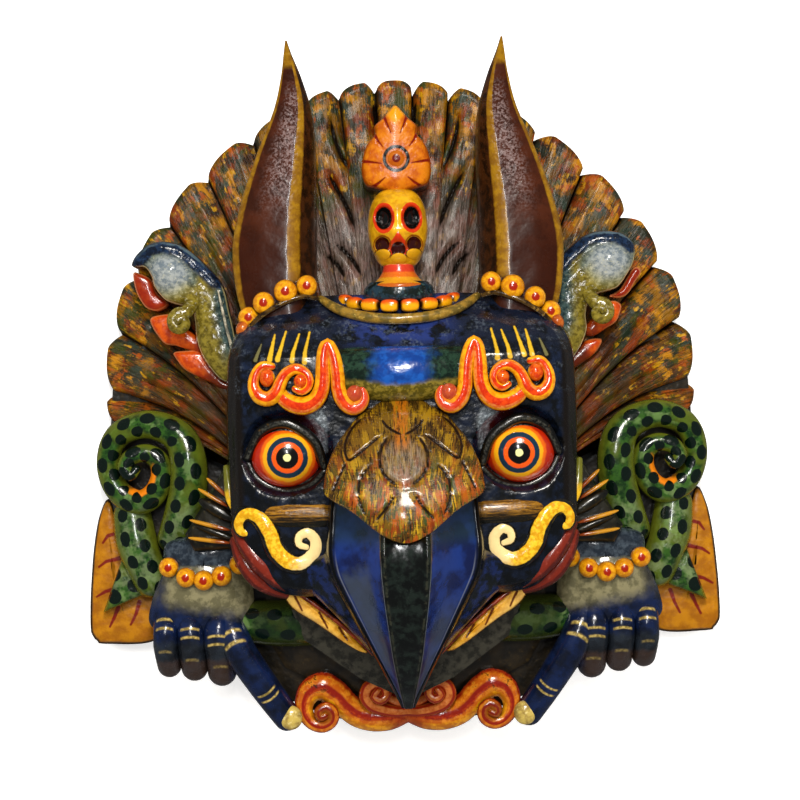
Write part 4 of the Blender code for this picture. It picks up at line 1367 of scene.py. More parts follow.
def makeGills():
    dark = darkPaint("gillPaint", "#0a0a07", "#1d1b12", "#4d4628")
    outline = resampled(gills["outline"], 2.0)
    shape = addForm(Shape(), outline, gills["spine"], *gills["heights"], rings=10, closed=False)
    shape.mirrored().piece("gills", dark)
    coat = Coat("ribPaint")
    coat.colour = mixed((abs(coat.x) + coat.uneven(3.0, 12)).ease(116, 128), "#7a3410", "#b8801c")
    paint = coat.finish(0.3, roughness=0.2)
    lumps("gillRibs", strips(gills["ribs"], 77, 1, 3.0), paint, Boxiness=0.2, Segments=28)
    lumps("gillFolds", strips(gills["folds"], 74, 9, 4.6, 3), dark, Segments=28)
    coat = Coat("gillEdgePaint")
    coat.colour = mixed((coat.y + coat.uneven(4.0, 10)).ease(-58, -68), "#5f5f1c", "#d8a81c")
    paint = coat.finish(0.3, roughness=0.2)
    addBand(Shape(), gills["edge"], sides=18).mirrored().piece("gillEdges", paint)


# Snakes and fins

snakes = {
    "coil": [(175, -48, 50, 3), (179, -51.5, 50, 4), (182.4, -46, 49, 5), (178, -39.5, 48, 5.6),
             (168, -37.4, 47, 6.2), (160, -43, 47, 7), (158.6, -53, 46, 7.5), (163, -63.5, 44, 8),
             (172, -69.5, 41, 8.3), (182, -67.5, 38, 8.5), (190.5, -59, 37, 8.2), (194.5, -45.5, 37, 8),
             (192, -32, 38, 8.2), (184, -23, 40, 8.8), (169.5, -18.5, 43, 9.4), (155, -21.5, 46, 10.2),
             (145, -29.5, 48, 11.2), (140.5, -43, 50, 12.2), (141, -62, 49, 12.6), (146, -80, 45, 12.4),
             (152, -94, 40, 11)],
    "neck": [(180, -79, 30, 13), (177, -98, 32, 14), (168, -122, 34, 12)],
    "mouth": [(103, -149, 48, 14), (80, -150, 56, 15.5), (50, -149, 60, 15.5)],
    "tail": [(188, -108), (201, -143), (172, -131)],
    "tailSpine": [(187, -122), (188, -132)],
    "tailHeights": (5, 33, 37),
    "spotPitch": 15.0,
    "spotHalfLength": 4.7,
    "spotHalfWidth": 3.6,
    "spotRow": 0.42,  # distance of each row from the middle line, as a share of the half width
}


def snakePaint():
    # two rows of oval spots along the body, at true size
    coat = Coat("snakePaint")
    along, across, half = coat.attribute("along"), coat.attribute("across"), coat.attribute("half")
    side, y = abs(across), coat.y
    uneven = coat.noise(5.0) - 0.5
    coat.colour = mixed((uneven + 0.5).ease(0.38, 0.62), "#102a0e", "#2a4c18")
    coat.wash((side + uneven * 0.5).ease(0.4, 0.95) * 0.8, "#5c5f14")
    coat.wash(coat.noise(22.0, 2.0, 0.5).ease(0.5, 0.62) * 0.55, "#566016")
    # painted highlight: paler green patches on the top of the body
    coat.wash(coat.noise(13.0).ease(0.52, 0.62) * side.ease(0.6, 0.3) * 0.35, "#7f9a5c")
    # painted shade: darker near the middle, where the snakes go in under the beak
    coat.wash(abs(coat.x).ease(104, 98) * 0.75, "#101c0c")
    # painted sheen: a pale grey-green wash on the lower sides of the body
    paintedSheen = y.ease(-62, -84) * side.ease(0.85, 0.5) * coat.noise(7.0).ease(0.4, 0.6)
    coat.wash(paintedSheen * y.ease(-140, -124) * 0.5, "#77855c")
    coat.wash(coat.attribute("warm") * (across + uneven * 0.5).ease(-0.35, -0.6), "#d8780f")
    spots = []
    for row, shift in ((snakes["spotRow"], 0.0), (-snakes["spotRow"], 0.5)):
        place = along / snakes["spotPitch"] + shift + coat.attribute("seed") + uneven * 0.12
        length = (place.math("FRACT", place) - 0.5) * (snakes["spotPitch"] / snakes["spotHalfLength"])
        spots.append((length**2 + ((across - row) * half / snakes["spotHalfWidth"]) ** 2) ** 0.5)
    coat.wash((spots[0].least(spots[1]) + uneven * 0.25).ease(1.05, 0.92), "#04100a")
    # painted shade along the sides of the body, where it meets what it lies on
    coat.wash(side.ease(0.95, 1.0), "#14180a")
    return coat.finish(0.15, roughness=0.15, grain=0.4)


def makeSnakes():
    paint = snakePaint()
    shape = addBand(Shape(), snakes["coil"], sides=40)
    along = shape.values["along"]
    shape.mark("warm", 0, np.clip((along - 38) / 8, 0, 1) * np.clip((92 - along) / 10, 0, 1))
    addBand(shape, snakes["neck"], sides=36, seed=3.0).mirrored().piece("snakeCoils", paint)
    addBand(Shape(), snakes["mouth"], sides=44, seed=7.0).mirrored().piece("mouthSnakes", paint)
    tail = resampled(snakes["tail"], 1.5)
    shape = addForm(Shape(), tail, snakes["tailSpine"], *snakes["tailHeights"], rings=10, closed=False)
    shape.mark("along", 0, shape.points[:, 1] + 200)
    shape.mark("across", 0, (shape.points[:, 0] - 186) / 16)
    shape.mark("half", 0, 12.0)
    shape.mirrored().piece("snakeTails", paint)


fins = {
    "outline": [(196, -69), (203, -78), (207.5, -100), (210.3, -130), (211, -153), (209.8, -159),
                (206.6, -163), (201, -165), (166, -162), (162, -130), (186, -100)],
    "spine": [(197, -90), (195, -120), (188, -145)],
    "heights": (1.0, 23, 26),
    "lines": [[(189.5, -90.5), (197.5, -92.2), (201, -97)], [(190, -107.5), (199, -109.5), (204, -113)],
              [(192, -127.5), (200, -129.5), (206, -133)], [(191.5, -140), (194.5, -147), (197.5, -153)],
              [(177.5, -137), (180, -145), (183.5, -152)], [(165, -135.5), (166.5, -142), (170, -149)]],
}


def makeFins():
    coat = Coat("finPaint")
    coat.colour = coat.mottled(9.0, 0.36, 0.64, "#905606", "#ac700a", 4.0, 0.62)
    coat.wash(strokes(coat, fins["lines"], 3.0, 0.5, 0.4, 0.4), "#6a1408")
    coat.wash(coat.attribute("rim").ease(2.4, 1.0), "#2a1a06")
    paint = coat.finish(0.18, roughness=0.3, grain=0.45, lacquer=0.3)
    shape = addForm(Shape(), fins["outline"], fins["spine"], *fins["heights"], rings=14)
    shape.roughened(12, 0.3, 17).mirrored().piece("fins", paint)


# Hands

hands = {
    "palm": [(153, -95), (110, -94), (101, -118), (100, -146), (112, -158), (148, -158), (167, -150),
             (166, -134), (158, -114)],
    "palmSpine": [(130, -105), (134, -125), (134, -145)],
    "palmHeights": (5, 56, 66),
    "back": ((133, -128, 56), (27, 27, 13)),
    # x, y of the tip, radius and y of the knuckle
    "fingers": [(157, -177, 8, -145), (140.5, -179, 8.8, -151), (122.5, -182, 9.6, -156)],
    "index": [(119, -146, 54, 11), (113, -158, 61, 10.8), (107, -170, 62, 10.4), (92, -193, 60, 9.8),
              (79, -212, 56, 9)],
    "nail": ((76.5, -211.5, 61.5), (7.6, 8.0, 5.2)),
}


def handPaint():
    coat = Coat("handPaint")
    x, y = abs(coat.x), coat.y
    uneven = coat.uneven(6.0, 10)
    blue = coat.mottled(11.0, 0.3, 0.7, "#070c1a", "#0f1d40", 3.0, 0.55)
    slate = coat.mottled(11.0, 0.3, 0.7, "#101318", "#20262e", 3.0, 0.55)
    pale = coat.mottled(7.0, 0.4, 0.6, "#5a563e", "#7c7658", 4.0, 0.65)
    wrist = coat.mottled(5.0, 0.4, 0.66, "#1a222c", "#3c4650", 4.0, 0.7)
    coat.colour = mixed((y + uneven * 0.6 - (x - 130) * 0.15).ease(-133, -146), pale, blue)
    coat.wash((x + uneven * 0.3).ease(152, 160) * 0.8, blue)
    coat.wash((y + uneven * 0.3).ease(-113, -110), wrist)
    coat.wash((y + uneven).ease(-156, -164) * x.ease(114, 118), slate)
    coat.wash((y + uneven * 0.6).ease(-171, -175) * x.ease(112, 118) * 0.25, "#5a3a1c")
    side = coat.attribute("across")
    bend = coat.attribute("joint") - side * side * 0.25
    lines = (bend.band(1.0, 0.07, 0.05)).most(bend.band(1.5, 0.07, 0.05)) * abs(side).ease(0.75, 0.6)
    faint = bend.band(2.9, 0.08, 0.06) * abs(side).ease(0.6, 0.4) * 0.4
    coat.wash(lines.most(faint) * 0.9, coat.mottled(2.0, 0.4, 0.6, "#7a6830", "#b8a05a", 2.0))
    return coat.finish(0.15, roughness=0.16, grain=0.45, grainSize=1.8)


def makeHands():
    # joint is 1 and 1.5 at the two gold lines of a joint, and grows towards the nail
    shape = addForm(Shape(), hands["palm"], hands["palmSpine"], *hands["palmHeights"], rings=16)
    addBall(shape, *hands["back"], 40, 20).mark("joint", 0, -9.0)
    for x, low, radius, knuckle in hands["fingers"]:
        start = len(shape.points)
        bends = [(x, -140, 50, radius * 0.9), (x, -152, 61, radius), (x, -160, 62, radius),
                 (x, -164, 60, radius), (x - 0.5, -171, 56, radius * 0.97), (x - 1, low, 48, radius)]
        addBand(shape, bends, sides=32).mark("joint", start, 1 + (knuckle - shape.points[start:, 1]) / 11)
    start = len(shape.points)
    line = addBand(shape, hands["index"], sides=40).values["along"][start:]
    joint = np.where(line < 40, 1 + (line - 14) / 11, 1 + (61 - line) / 8.5)
    shape.mark("joint", start, np.minimum(joint, 2.2))
    shape.mirrored().piece("hands", handPaint())
    paint = plainPaint("nailPaint", "#b8a050", "#8a7238", "#d8c888", roughness=0.2)
    addBall(Shape(), *hands["nail"], 32, 20).mirrored().piece("nails", paint)


# Beads

beads = {
    "bracelet": {"count": 5, "x": 153.5, "y": -120, "z": 71, "pitch": 11.5, "radius": 6.8},
    "horn": [(97, 49, 82, 6.9), (87, 58, 86, 7.3), (72.8, 65, 87, 7.8), (59.2, 68.4, 84, 7)],
    "drop": (101, 42, 84, 4.4, 5.5, 6, 0, 0, 20),
    "crown": {"count": 8, "pitch": 20, "halfWidth": 37, "y": 61, "z": 64, "radii": (6.4, 4.4, 4.8)},
}


def crownBeadPaint():
    coat = Coat("crownBeadPaint")
    x, y, _ = coat.local()
    coat.colour = mixed((y + coat.uneven(3.0, 0.6)).ease(-0.1, 0.6), "#dc980a", "#c8480a")
    coat.wash(abs(x).ease(0.7, 0.95), "#241004")
    return coat.finish(0.2, roughness=0.18, grain=0.3, lacquer=0.9)


def makeBeads():
    paint = beadPaint("braceletBeadPaint", "#bc7608", "#d89812", "#8c1a04")
    row = beads["bracelet"]
    places = []
    for i in range(row["count"]):
        turn = (i - 2) / 2
        place = (row["x"] - row["pitch"] * i, row["y"] + 9 * turn**2 + 0.5 * turn, row["z"] - 6 * turn**2)
        places.append(place + (row["radius"],) * 3)
    lumps("braceletBeads", places, paint, Segments=32, Rings=20)
    places = [(x, y, z, r, r * 1.04, r * 0.9) for x, y, z, r in beads["horn"]]
    lumps("hornBeads", places, paint, Segments=32, Rings=20)
    drop = plainPaint("hornDropPaint", "#b8601c", "#8a3a10", "#d88a3a", roughness=0.18)
    lumps("hornDrops", [beads["drop"]], drop)
    row = beads["crown"]
    places = []
    for i in range(row["count"]):
        turn = row["pitch"] * (i - 3.5)
        angle = math.radians(turn)
        place = (row["halfWidth"] * math.sin(angle), row["y"] - 7 * math.cos(angle),
                 row["z"] + 35 * math.cos(angle))
        places.append(place + row["radii"] + (0, turn, turn * 0.12))
    lumps("crownBeads", places, crownBeadPaint(), both=False, Boxiness=0.25, Segments=28, Rings=18)


# Chin

chin = {
    "band": [(0, -211, 49, 6.6), (6.2, -212.2, 49, 8.4), (13, -213.2, 49, 9.8), (22.5, -213.6, 49, 9.9),
             (32.3, -211.2, 50, 9.4), (40, -205.3, 51, 9.2), (46.6, -198, 52, 9.4), (55, -192.6, 53, 10),
             (63.4, -195.2, 54, 8.6), (67.4, -202.2, 55, 6.8), (67, -209.8, 56, 5.4),
             (62.4, -216, 57, 4.6), (55.6, -217.9, 58, 4.4), (49.8, -214.4, 59, 4.1),
             (49.4, -208.4, 60, 3.9), (54, -205.3, 60, 3.6), (58.3, -208.2, 61, 3.2),
             (57.4, -211.8, 61, 3), (54.4, -211, 61, 2.8)],
    "curl": [(0, -210, 53, 3.6), (7.9, -209.6, 56, 4.2), (16.2, -207.6, 58, 4.7), (23.4, -204.2, 60, 4.9),
             (27, -198.9, 61, 4.9), (25.6, -193, 62, 4.7), (20.4, -190.2, 63, 4.3), (15, -192.4, 64, 3.9),
             (13.9, -197.6, 64, 3.6), (17.6, -200.8, 65, 3.4), (21.6, -198.4, 65, 3.2),
             (19.6, -195.4, 65, 3)],
    "roll": [(0, -203.6, 51, 5.4), (7, -203, 53, 5.6), (14, -199.5, 55, 4.4)],
}


def cloudPaint():
    coat = Coat("cloudPaint")
    across = (coat.attribute("across") + coat.uneven(4.0, 0.18)) * coat.attribute("way")
    gold = coat.mottled(6.0, 0.4, 0.62, "#a8600a", "#cf8a10")
    rust = coat.mottled(4.0, 0.4, 0.62, "#7a1806", "#9a320a")
    warm = coat.mottled(4.0, 0.4, 0.62, "#a8500c", "#c4761a")
    stops = [rust, (-0.78, warm), (-0.3, "#7a1606"), (0.0, rust), (0.2, warm), (0.45, gold)]
    coat.colour = layered(across, stops, 0.08)
    centre = ((abs(coat.x) - 55.0) ** 2 + (coat.y + 210.0) ** 2) ** 0.5
    coat.wash(centre.ease(9, 5) * 0.7, "#5a1206")
    coat.wash(abs(coat.x).ease(15, 7) * 0.85, rust)
    # painted shade along the edges of the band
    coat.wash(abs(across).ease(0.93, 1.0), "#1c0a03")
    # painted shade: darker low down on the band, towards the board
    coat.wash(coat.z.ease(44, 34), "#5a300a")
    wearAndSheen = coat.noise(4.0, 4.0, 0.7).ease(0.56, 0.62) * coat.y.ease(-200, -192) * abs(coat.x).ease(40, 46)
    coat.wash(wearAndSheen * 0.8, "#1c1408")
    return coat.finish(0.2, roughness=0.18, grain=0.5)


def curlPaint():
    coat = Coat("chinCurlPaint")
    across = coat.attribute("across") + coat.uneven(4.0, 0.2)
    warm = coat.mottled(4.0, 0.4, 0.62, "#a04c1a", "#b86a30")
    # the last, near-black stop is painted shade at the edges of the curls
    coat.colour = layered(abs(across), [warm, (0.42, "#7e1a06"), (0.74, "#8f380c"), (0.94, "#2a0f04")], 0.08)
    return coat.finish(0.16, roughness=0.18, grain=0.5)


def makeChin():
    addBand(Shape(), chin["band"], sides=40, way=1.0).mirrored().piece("chinScrolls", cloudPaint())
    shape = addBand(Shape(), chin["curl"], sides=32)
    addBand(shape, chin["roll"], sides=28).mirrored().piece("chinCurls", curlPaint())


# Crown, skull and flame

crown = {
    # y and radius of the disc and the neck, which stand at these heights
    "disc": [(57, 20), (58.5, 22.6), (62, 23.2), (66, 22.5), (68.5, 20.5), (70, 19)],
    "discHeight": 76,
    "neck": [(66, 18.6), (67.5, 18.6), (69, 17), (71, 14.4), (74, 12), (77, 10.4), (82, 9.6), (88, 9.5)],
    "neckHeight": 80,
    "rim": [(-50, 60, 80, 2.4), (-43, 55, 89, 3), (-34, 50.5, 95, 3.2), (-18, 46.6, 100, 3.4),
            (0, 45.4, 102, 3.4)],
}


def makeCrown():
    disc = plainPaint("discPaint", "#0c1512", "#1d3340", "#3f5a58", roughness=0.2)
    addTurned(Shape(), crown["disc"], crown["discHeight"]).piece("crownDisc", disc)
    coat = Coat("neckPaint")
    stops = ["#a8500f", (68.5, "#c98a1c"), (72.5, "#c65f16"), (76, "#b8321a"), (81, "#d8a84a"),
             (84, "#b8701c")]
    coat.colour = layered(coat.attribute("station") + coat.uneven(3.0, 1.5), stops, 0.6)
    neck = coat.finish(0.3, roughness=0.2)
    addTurned(Shape(), crown["neck"], crown["neckHeight"]).piece("crownNeck", neck)
    paint = plainPaint("crownRimPaint", "#5a4a1c", "#8a6a24", "#b89a4a", roughness=0.24)
    line = crown["rim"] + [(-x, y, z, r) for x, y, z, r in reversed(crown["rim"][:-1])]
    addBand(Shape(), line, sides=20).piece("crownRim", paint)


skull = {
    "centre": (104, 78),
    "radii": (19.4, 26, 22),
    "squareness": -0.42,  # a carved skull is nearly a box
    # x, y and radii; the mouth has three arches and three teeth this far apart
    "socket": (8.9, 110, 4.8, 6.8),
    "pitch": 10.2,
    "arch": (90.0, 3.4, 4.9, 4.8),
    "tooth": (84.4, 2.8, 5.6, 3.6),
    "columns": 96,
    "rows": 72,
}


def skullMarks(x, y):
    # how far from the sockets, arches and teeth a place is, for the carving and for the paint
    place, high, wide, tall = skull["socket"]
    socket = (((abs(x) - place) / wide) ** 2 + ((y - high) / tall) ** 2) ** 0.5
    found = []
    for high, rise, wide, tall in (skull["arch"], skull["tooth"]):
        found.append([((x - i * skull["pitch"]) / wide) ** 2 + ((y - high - rise * abs(i)) / tall) ** 2
                      for i in (-1, 0, 1)])
    return socket, found[0], found[1]


def skullPaint():
    coat = Coat("skullPaint")
    uneven = coat.uneven(2.0, 0.16, 2.0)
    coat.colour = coat.mottled(6.0, 0.36, 0.64, "#b07c08", "#d39c14", 4.0)
    face, y = coat.z.ease(80, 86), coat.y
    hole, arches, teeth = skullMarks(coat.x, y)
    hole = hole + uneven
    coat.wash(hole.ease(1.5, 1.42) * face, "#b82c06")
    coat.wash(hole.ease(1.12, 1.02) * face, "#050706")
    left, middle, right = (arch**0.5 + uneven for arch in arches)
    tooth, second, third = (lobe**0.5 + uneven for lobe in teeth)
    tooth = tooth.least(second).least(third)
    pillars = middle.ease(1.52, 1.42) * y.ease(85.5, 87)
    ridge = (abs(coat.x) * 1.3 + y).ease(101.4, 100.6) * y.ease(92, 94)
    coat.wash(pillars.most(ridge) * face, "#b82c08")
    outer = left.least(right)
    coat.wash(outer.band(1.1, 0.08, 0.06) * face, "#7a3406")
    coat.wash(outer.least(middle).ease(1.02, 0.92) * face, "#2c0604")
    coat.wash(tooth.ease(1.06, 0.98) * y.ease(83, 86.5) * face, "#4a1c06")
    coat.wash(tooth.ease(0.94, 0.84) * face, "#c08c12")
    # painted shade: the skull darker underneath and towards its back
    coat.wash(y.ease(81.6, 79.4) * 0.8, "#4a2206")
    coat.wash(coat.z.ease(74, 66), "#4a2c06")
    return coat.finish(0.12, roughness=0.14, grain=0.3, lacquer=0.9)


def makeSkull():
    columns = skull["columns"]
    tilts = np.linspace(0, math.pi, skull["rows"])[1:-1]
    turns = np.arange(columns) * turnFull / columns
    ways = [(math.sin(a) * math.sin(t), math.cos(a), math.sin(a) * math.cos(t)) for a in tilts for t in turns]
    across, up, out = np.array([(0, 1.0, 0)] + ways + [(0, -1.0, 0)]).T
    faces = [tuple(1 + i for i in face) for face in ringFaces(len(tilts), columns, capped=False)]
    last = len(ways) + 1
    for j in range(columns):
        k = (j + 1) % columns
        faces += [(0, 1 + j, 1 + k), (last, last - columns + k, last - columns + j)]
    below = np.clip((-up - 0.1) / 0.6, 0, 1)
    square = np.hypot(across, out).clip(0.05) ** skull["squareness"]
    x = skull["radii"][0] * across * (1 - 0.08 * below) * square
    y = skull["centre"][0] + skull["radii"][1] * up
    z = skull["centre"][1] + skull["radii"][2] * out * (1 - 0.1 * below) * square**0.6
    sockets, arches, teeth = skullMarks(x, y)
    cuts, lobes = np.zeros(len(x)), np.zeros(len(x))
    for arch, tooth in zip(arches, teeth):
        cuts = np.maximum(cuts, 3.2 * np.clip((1.12 - arch**0.5) / 0.5, 0, 1) ** 0.7)
        cuts = cuts * np.clip((tooth - 0.8) / 0.5, 0, 1)
        lobes = np.maximum(lobes, 1.8 * np.exp(-(tooth**2)))
    dents = 7.0 * np.clip((1.15 - sockets) / 0.5, 0, 1) ** 0.7
    rings = 1.3 * np.exp(-(((sockets - 1.42) / 0.2) ** 2))
    nose = 2.6 * np.exp(-((x / 2.8) ** 2) - ((y - 98.5) / 3.6) ** 2)
    z = z + (rings - dents + nose - cuts + lobes) * np.clip((out - 0.15) / 0.2, 0, 1)
    Shape().add(np.column_stack([x, y, z]), faces).piece("skull", skullPaint(), sharp=60)


flame = {
    "half": [(0, 184), (4.5, 180), (8, 176), (13.5, 170.8), (13.6, 165.5), (18.5, 159), (21.6, 150),
             (22.3, 141), (20, 133.5), (14.5, 131), (8, 129), (0, 127)],
    "spine": [(0, 172), (0, 150), (0, 138)],
    "heights": (30, 80, 85),
    "eye": ((0, 149, 82), (7.2, 7.2, 4.4)),
    "marks": [[(7.4, 176.6), (5.4, 171), (3, 165.5)], [(13.4, 164.4), (11.4, 160.6), (8.6, 157)],
              [(21.6, 148), (15, 147), (9.4, 146)], [(15, 131.5), (11, 134), (7.4, 137)]],
    "cuts": [[(7.6, 177), (5.5, 171), (3, 165.5)], [(13.6, 164.6), (11.5, 160.5), (8.6, 157)], [(22, 148),
             (15, 147), (9.4, 146)], [(15, 131.5), (11, 134), (7.4, 137)]],
}


def flamePaint():
    coat = Coat("flamePaint")
    coat.colour = coat.mottled(7.0, 0.36, 0.64, "#a04a06", "#bf6c0a")
    coat.wash(coat.dabs(6.0, 0.6, 0.72, 0.5, 2.0), "#cf8a14")
    coat.wash(strokes(coat, flame["marks"], 2.2, 0.3, 0.4, 0.3), "#6a0f04")
    coat.wash(coat.attribute("rim").ease(1.6, 0.6) * 0.7, "#8a3408")
    away = (coat.x**2 + (coat.y - 149) ** 2) ** 0.5 + coat.uneven(3.0, 0.5, 2.0)
    coat.wash(away.band(7.6, 1.1, 0.3), "#060302")
    coat.wash(away.ease(6.8, 6.4) * 0.5, "#8a3c08")
    coat.wash((coat.y - 170.0 + abs(coat.x) * -1.2).ease(-2, 3) * 0.7, "#d8920c")
    coat.wash(away.ease(3.0, 2.3), "#5a0c05")
    # painted shade: darker low down on the sides of the flame
    coat.wash(coat.z.ease(77, 68), "#3a1406")
    return coat.finish(0.3, roughness=0.24, grain=0.6, lacquer=0.2, mirror=0.25)


def makeFlame():
    outline = smoothPath(bothHalves(flame["half"]), 0.9, closed=True)
    shape = addForm(Shape(), outline, flame["spine"], *flame["heights"], rings=36, roll=2.5, closed=False)
    incise(shape, bothWays(flame["cuts"]), 0.8, 1.2, taper=0.5)
    start = len(shape.points)
    addBall(shape, *flame["eye"], 40, 24).mark("rim", start, 9.0)
    shape.piece("flame", flamePaint())


# Horns and ears

horns = {
    # y, inner edge, outer edge, front height, back height
    "stations": [
        (46, 55, 100, 86, 30),
        (68, 53.5, 105.5, 84, 24),
        (96, 53, 107, 82, 20),
        (124, 53, 101, 80, 18),
        (154, 52.6, 90.5, 80, 18),
        (182, 54.2, 78.5, 82, 18),
        (202, 59.5, 73, 86, 46),
        (217, 65.5, 70.5, 90, 70),
        (225, 68.2, 69.2, 92, 84),
    ],
    # x, y, z and half width of the lip below each horn
    "lip": [(104, 42, 82, 1.4), (98, 41.5, 86, 1.6), (89, 49.5, 89, 1.7), (76, 57, 90, 1.7),
            (62, 61.5, 88, 1.6), (53, 60, 84, 1.4)],
}


def hornSection(row):
    y, inner, outer, front, back = row
    wide = outer - inner
    return [
        (outer, back, 0.0),
        (outer + 0.3, front - wide * 0.3, 0.5),
        (outer, front - wide * 0.16, 1.0),
        (outer - wide * 0.06, front - wide * 0.1, 1.2),
        (outer - wide * 0.3, front, 2.0),
        (inner + wide * 0.48, front + wide * 0.02, 3.0),
        (inner + wide * 0.33, front + wide * 0.03, 3.8),
        (inner + wide * 0.2, front + wide * 0.0, 4.1),
        (inner + wide * 0.12, front - wide * 0.14, 4.5),
        (inner, front - wide * 0.36, 5.0),
        (inner, back, 6.0),
    ]


def hornPaint():
    coat = Coat("hornPaint")
    zone, y = coat.attribute("zone"), coat.y
    speck = coat.noise(1.7, 3.0, 0.72)
    coat.colour = coat.mottled(13.0, 0.36, 0.64, "#2c1208", "#3e1b0c")
    coat.wash(y.ease(118, 88) * 0.75, "#280d04")
    shine = y.ease(106, 150) * y.ease(204, 186) * speck.ease(0.45, 0.6) * zone.band(2.9, 0.9, 0.5)
    coat.wash(shine * 0.7, "#84706e")
    uneven = coat.uneven(4.0, 0.5)
    gold = coat.mottled(6.0, 0.36, 0.66, "#6c480a", "#8a640e")
    thick = (zone + uneven * 0.3).band(3.96, 0.2, 0.06) * y.ease(70, 74)
    thin = (zone + uneven * 0.2).band(1.02, 0.2, 0.06)
    tip = (y + uneven * 6).ease(207, 211) * zone.band(2.6, 1.9, 0.3)
    sideFace = coat.mottled(8.0, 0.4, 0.6, "#1c0e05", "#3a1e0a")
    coat.wash(zone.ease(4.16, 4.26), sideFace)
    coat.wash(zone.ease(0.8, 0.7), "#2a1606")
    coat.wash(thick.most(thin).most(tip), gold)
    rough = y.ease(100, 150) * 0.7 + 0.15
    return coat.finish(roughness=0.24, grain=rough, lacquer=0.3, mirror=0.2)


def makeHorns():
    shape = addLoft(Shape(), horns["stations"], hornSection, step=1.6, parts=5, passes=3)
    shape.points[:, 2] += wobble(shape.points, 16, 0.3, 9) * (shape.points[:, 2] > 60)
    shape.mirrored().piece("horns", hornPaint(), sharp=50)
    lip = plainPaint("hornLipPaint", "#1a0f05", "#4a3410", "#8a6a2c", roughness=0.18)
    addBand(Shape(), horns["lip"], sides=14).mirrored().piece("hornLips", lip)


# the two ears are carved by hand and aren't quite alike; each is given as if it were on the right
ears = {
    "left": {
        "outline": [(174.8, 86), (171.9, 92.4), (164.3, 98.9), (154.9, 101.3), (144.3, 99.5),
                    (135.5, 94.2), (126.7, 86), (118.4, 76.6), (114, 67.8), (111.5, 56), (108.5, 41.9),
                    (106.5, 27.8), (107, 16), (112, 8.5), (118.4, 10.2), (125.5, 18.4), (130.8, 27.8),
                    (133.7, 38.4), (134.3, 47.8), (136.6, 56.5), (146.6, 59.8), (153.7, 63.1),
                    (160.1, 71.3), (161.9, 78.3), (166, 84.2), (171.3, 84.6)],
        "top": [(174, 90), (164.3, 99), (154.9, 101.3), (144.3, 99.5), (135.5, 94.2), (126.7, 86),
                (118.4, 76.6)],
        "back": [(112, 64), (110, 50), (107, 36), (106, 22)],
        "lobe": (150, 80),
        "valley": [(168, 92), (157, 94), (147, 92.5), (137, 86.5), (127, 77), (119, 68)],
        "curl": (142.5, 47.6),
        "line": [(117.8, 67.8, 60, 0.5), (115.5, 56, 60.5, 0.9), (112.6, 42, 60.5, 1), (109.6, 28, 60, 1),
                 (110, 17, 59, 0.7)],
        "leaves": [
            [(174.5, 81.3), (169.5, 80.7), (162.5, 76.6), (159, 67.8), (152, 61), (158.4, 56.5),
             (164.8, 57.4), (168.9, 61.3), (173.1, 70.1)],
            [(163.9, 50.7), (159.6, 53), (149, 53), (140.8, 44.3), (131, 36), (131, 28), (140.8, 30.8),
             (147.8, 33.1), (154.3, 34.3), (159, 39.6), (162.5, 45.4)],
            [(149, 28.1), (143.1, 29.3), (131, 28.6), (124, 20), (116, 10), (106, 5.5), (110, 1.5),
             (118.4, 3.7), (124.3, 7.6), (133.7, 12.5), (141.9, 17.2), (146.6, 23.1)],
        ],
    },
    "right": {
        "outline": [(155.7, 87.7), (154.9, 93), (151.4, 97.7), (144.9, 101.2), (136.7, 102.3),
                    (128.5, 101.6), (121.4, 98.9), (114.4, 93), (106, 84.8), (101.5, 76), (101, 60),
                    (101, 40), (101, 20), (103, 12), (108.5, 13.5), (116.7, 23.6), (121.4, 32.5),
                    (123.2, 39.6), (122.6, 47.8), (125, 56.5), (130, 60.5), (139, 62.9), (144.5, 65.6),
                    (150.2, 73.1), (154.3, 80.7)],
        "top": [(154, 95), (151.4, 97.7), (144.9, 101.2), (136.7, 102.3), (128.5, 101.6), (121.4, 98.9),
                (114.4, 93), (106, 84.8)],
        "back": [(103, 76), (103, 60), (103, 44)],
        "lobe": (138, 82),
        "valley": [(150, 93), (142, 94), (133, 93.5), (124, 89), (116, 81), (107, 73)],
        "curl": (131.2, 48.4),
        "line": [],
        "leaves": [
            [(139, 59.5), (146.1, 64.2), (152.5, 74.8), (157, 78.3), (160, 74.8), (155.5, 67.8), (152, 62),
             (147, 58.6)],
            [(139, 56), (146.1, 53.9), (145.5, 48.4), (142.6, 42.5), (136.7, 38.7), (127.3, 33.4),
             (121, 36), (128, 46)],
            [(132.9, 30.8), (131.4, 26.1), (126.7, 20.8), (120.2, 16.1), (108.5, 9), (104, 12), (112, 21),
             (121, 29.4), (128.5, 31.8)],
        ],
    },
    "heights": (8, 52, 59),
    "lobeReach": (12.0, 11.0),
}


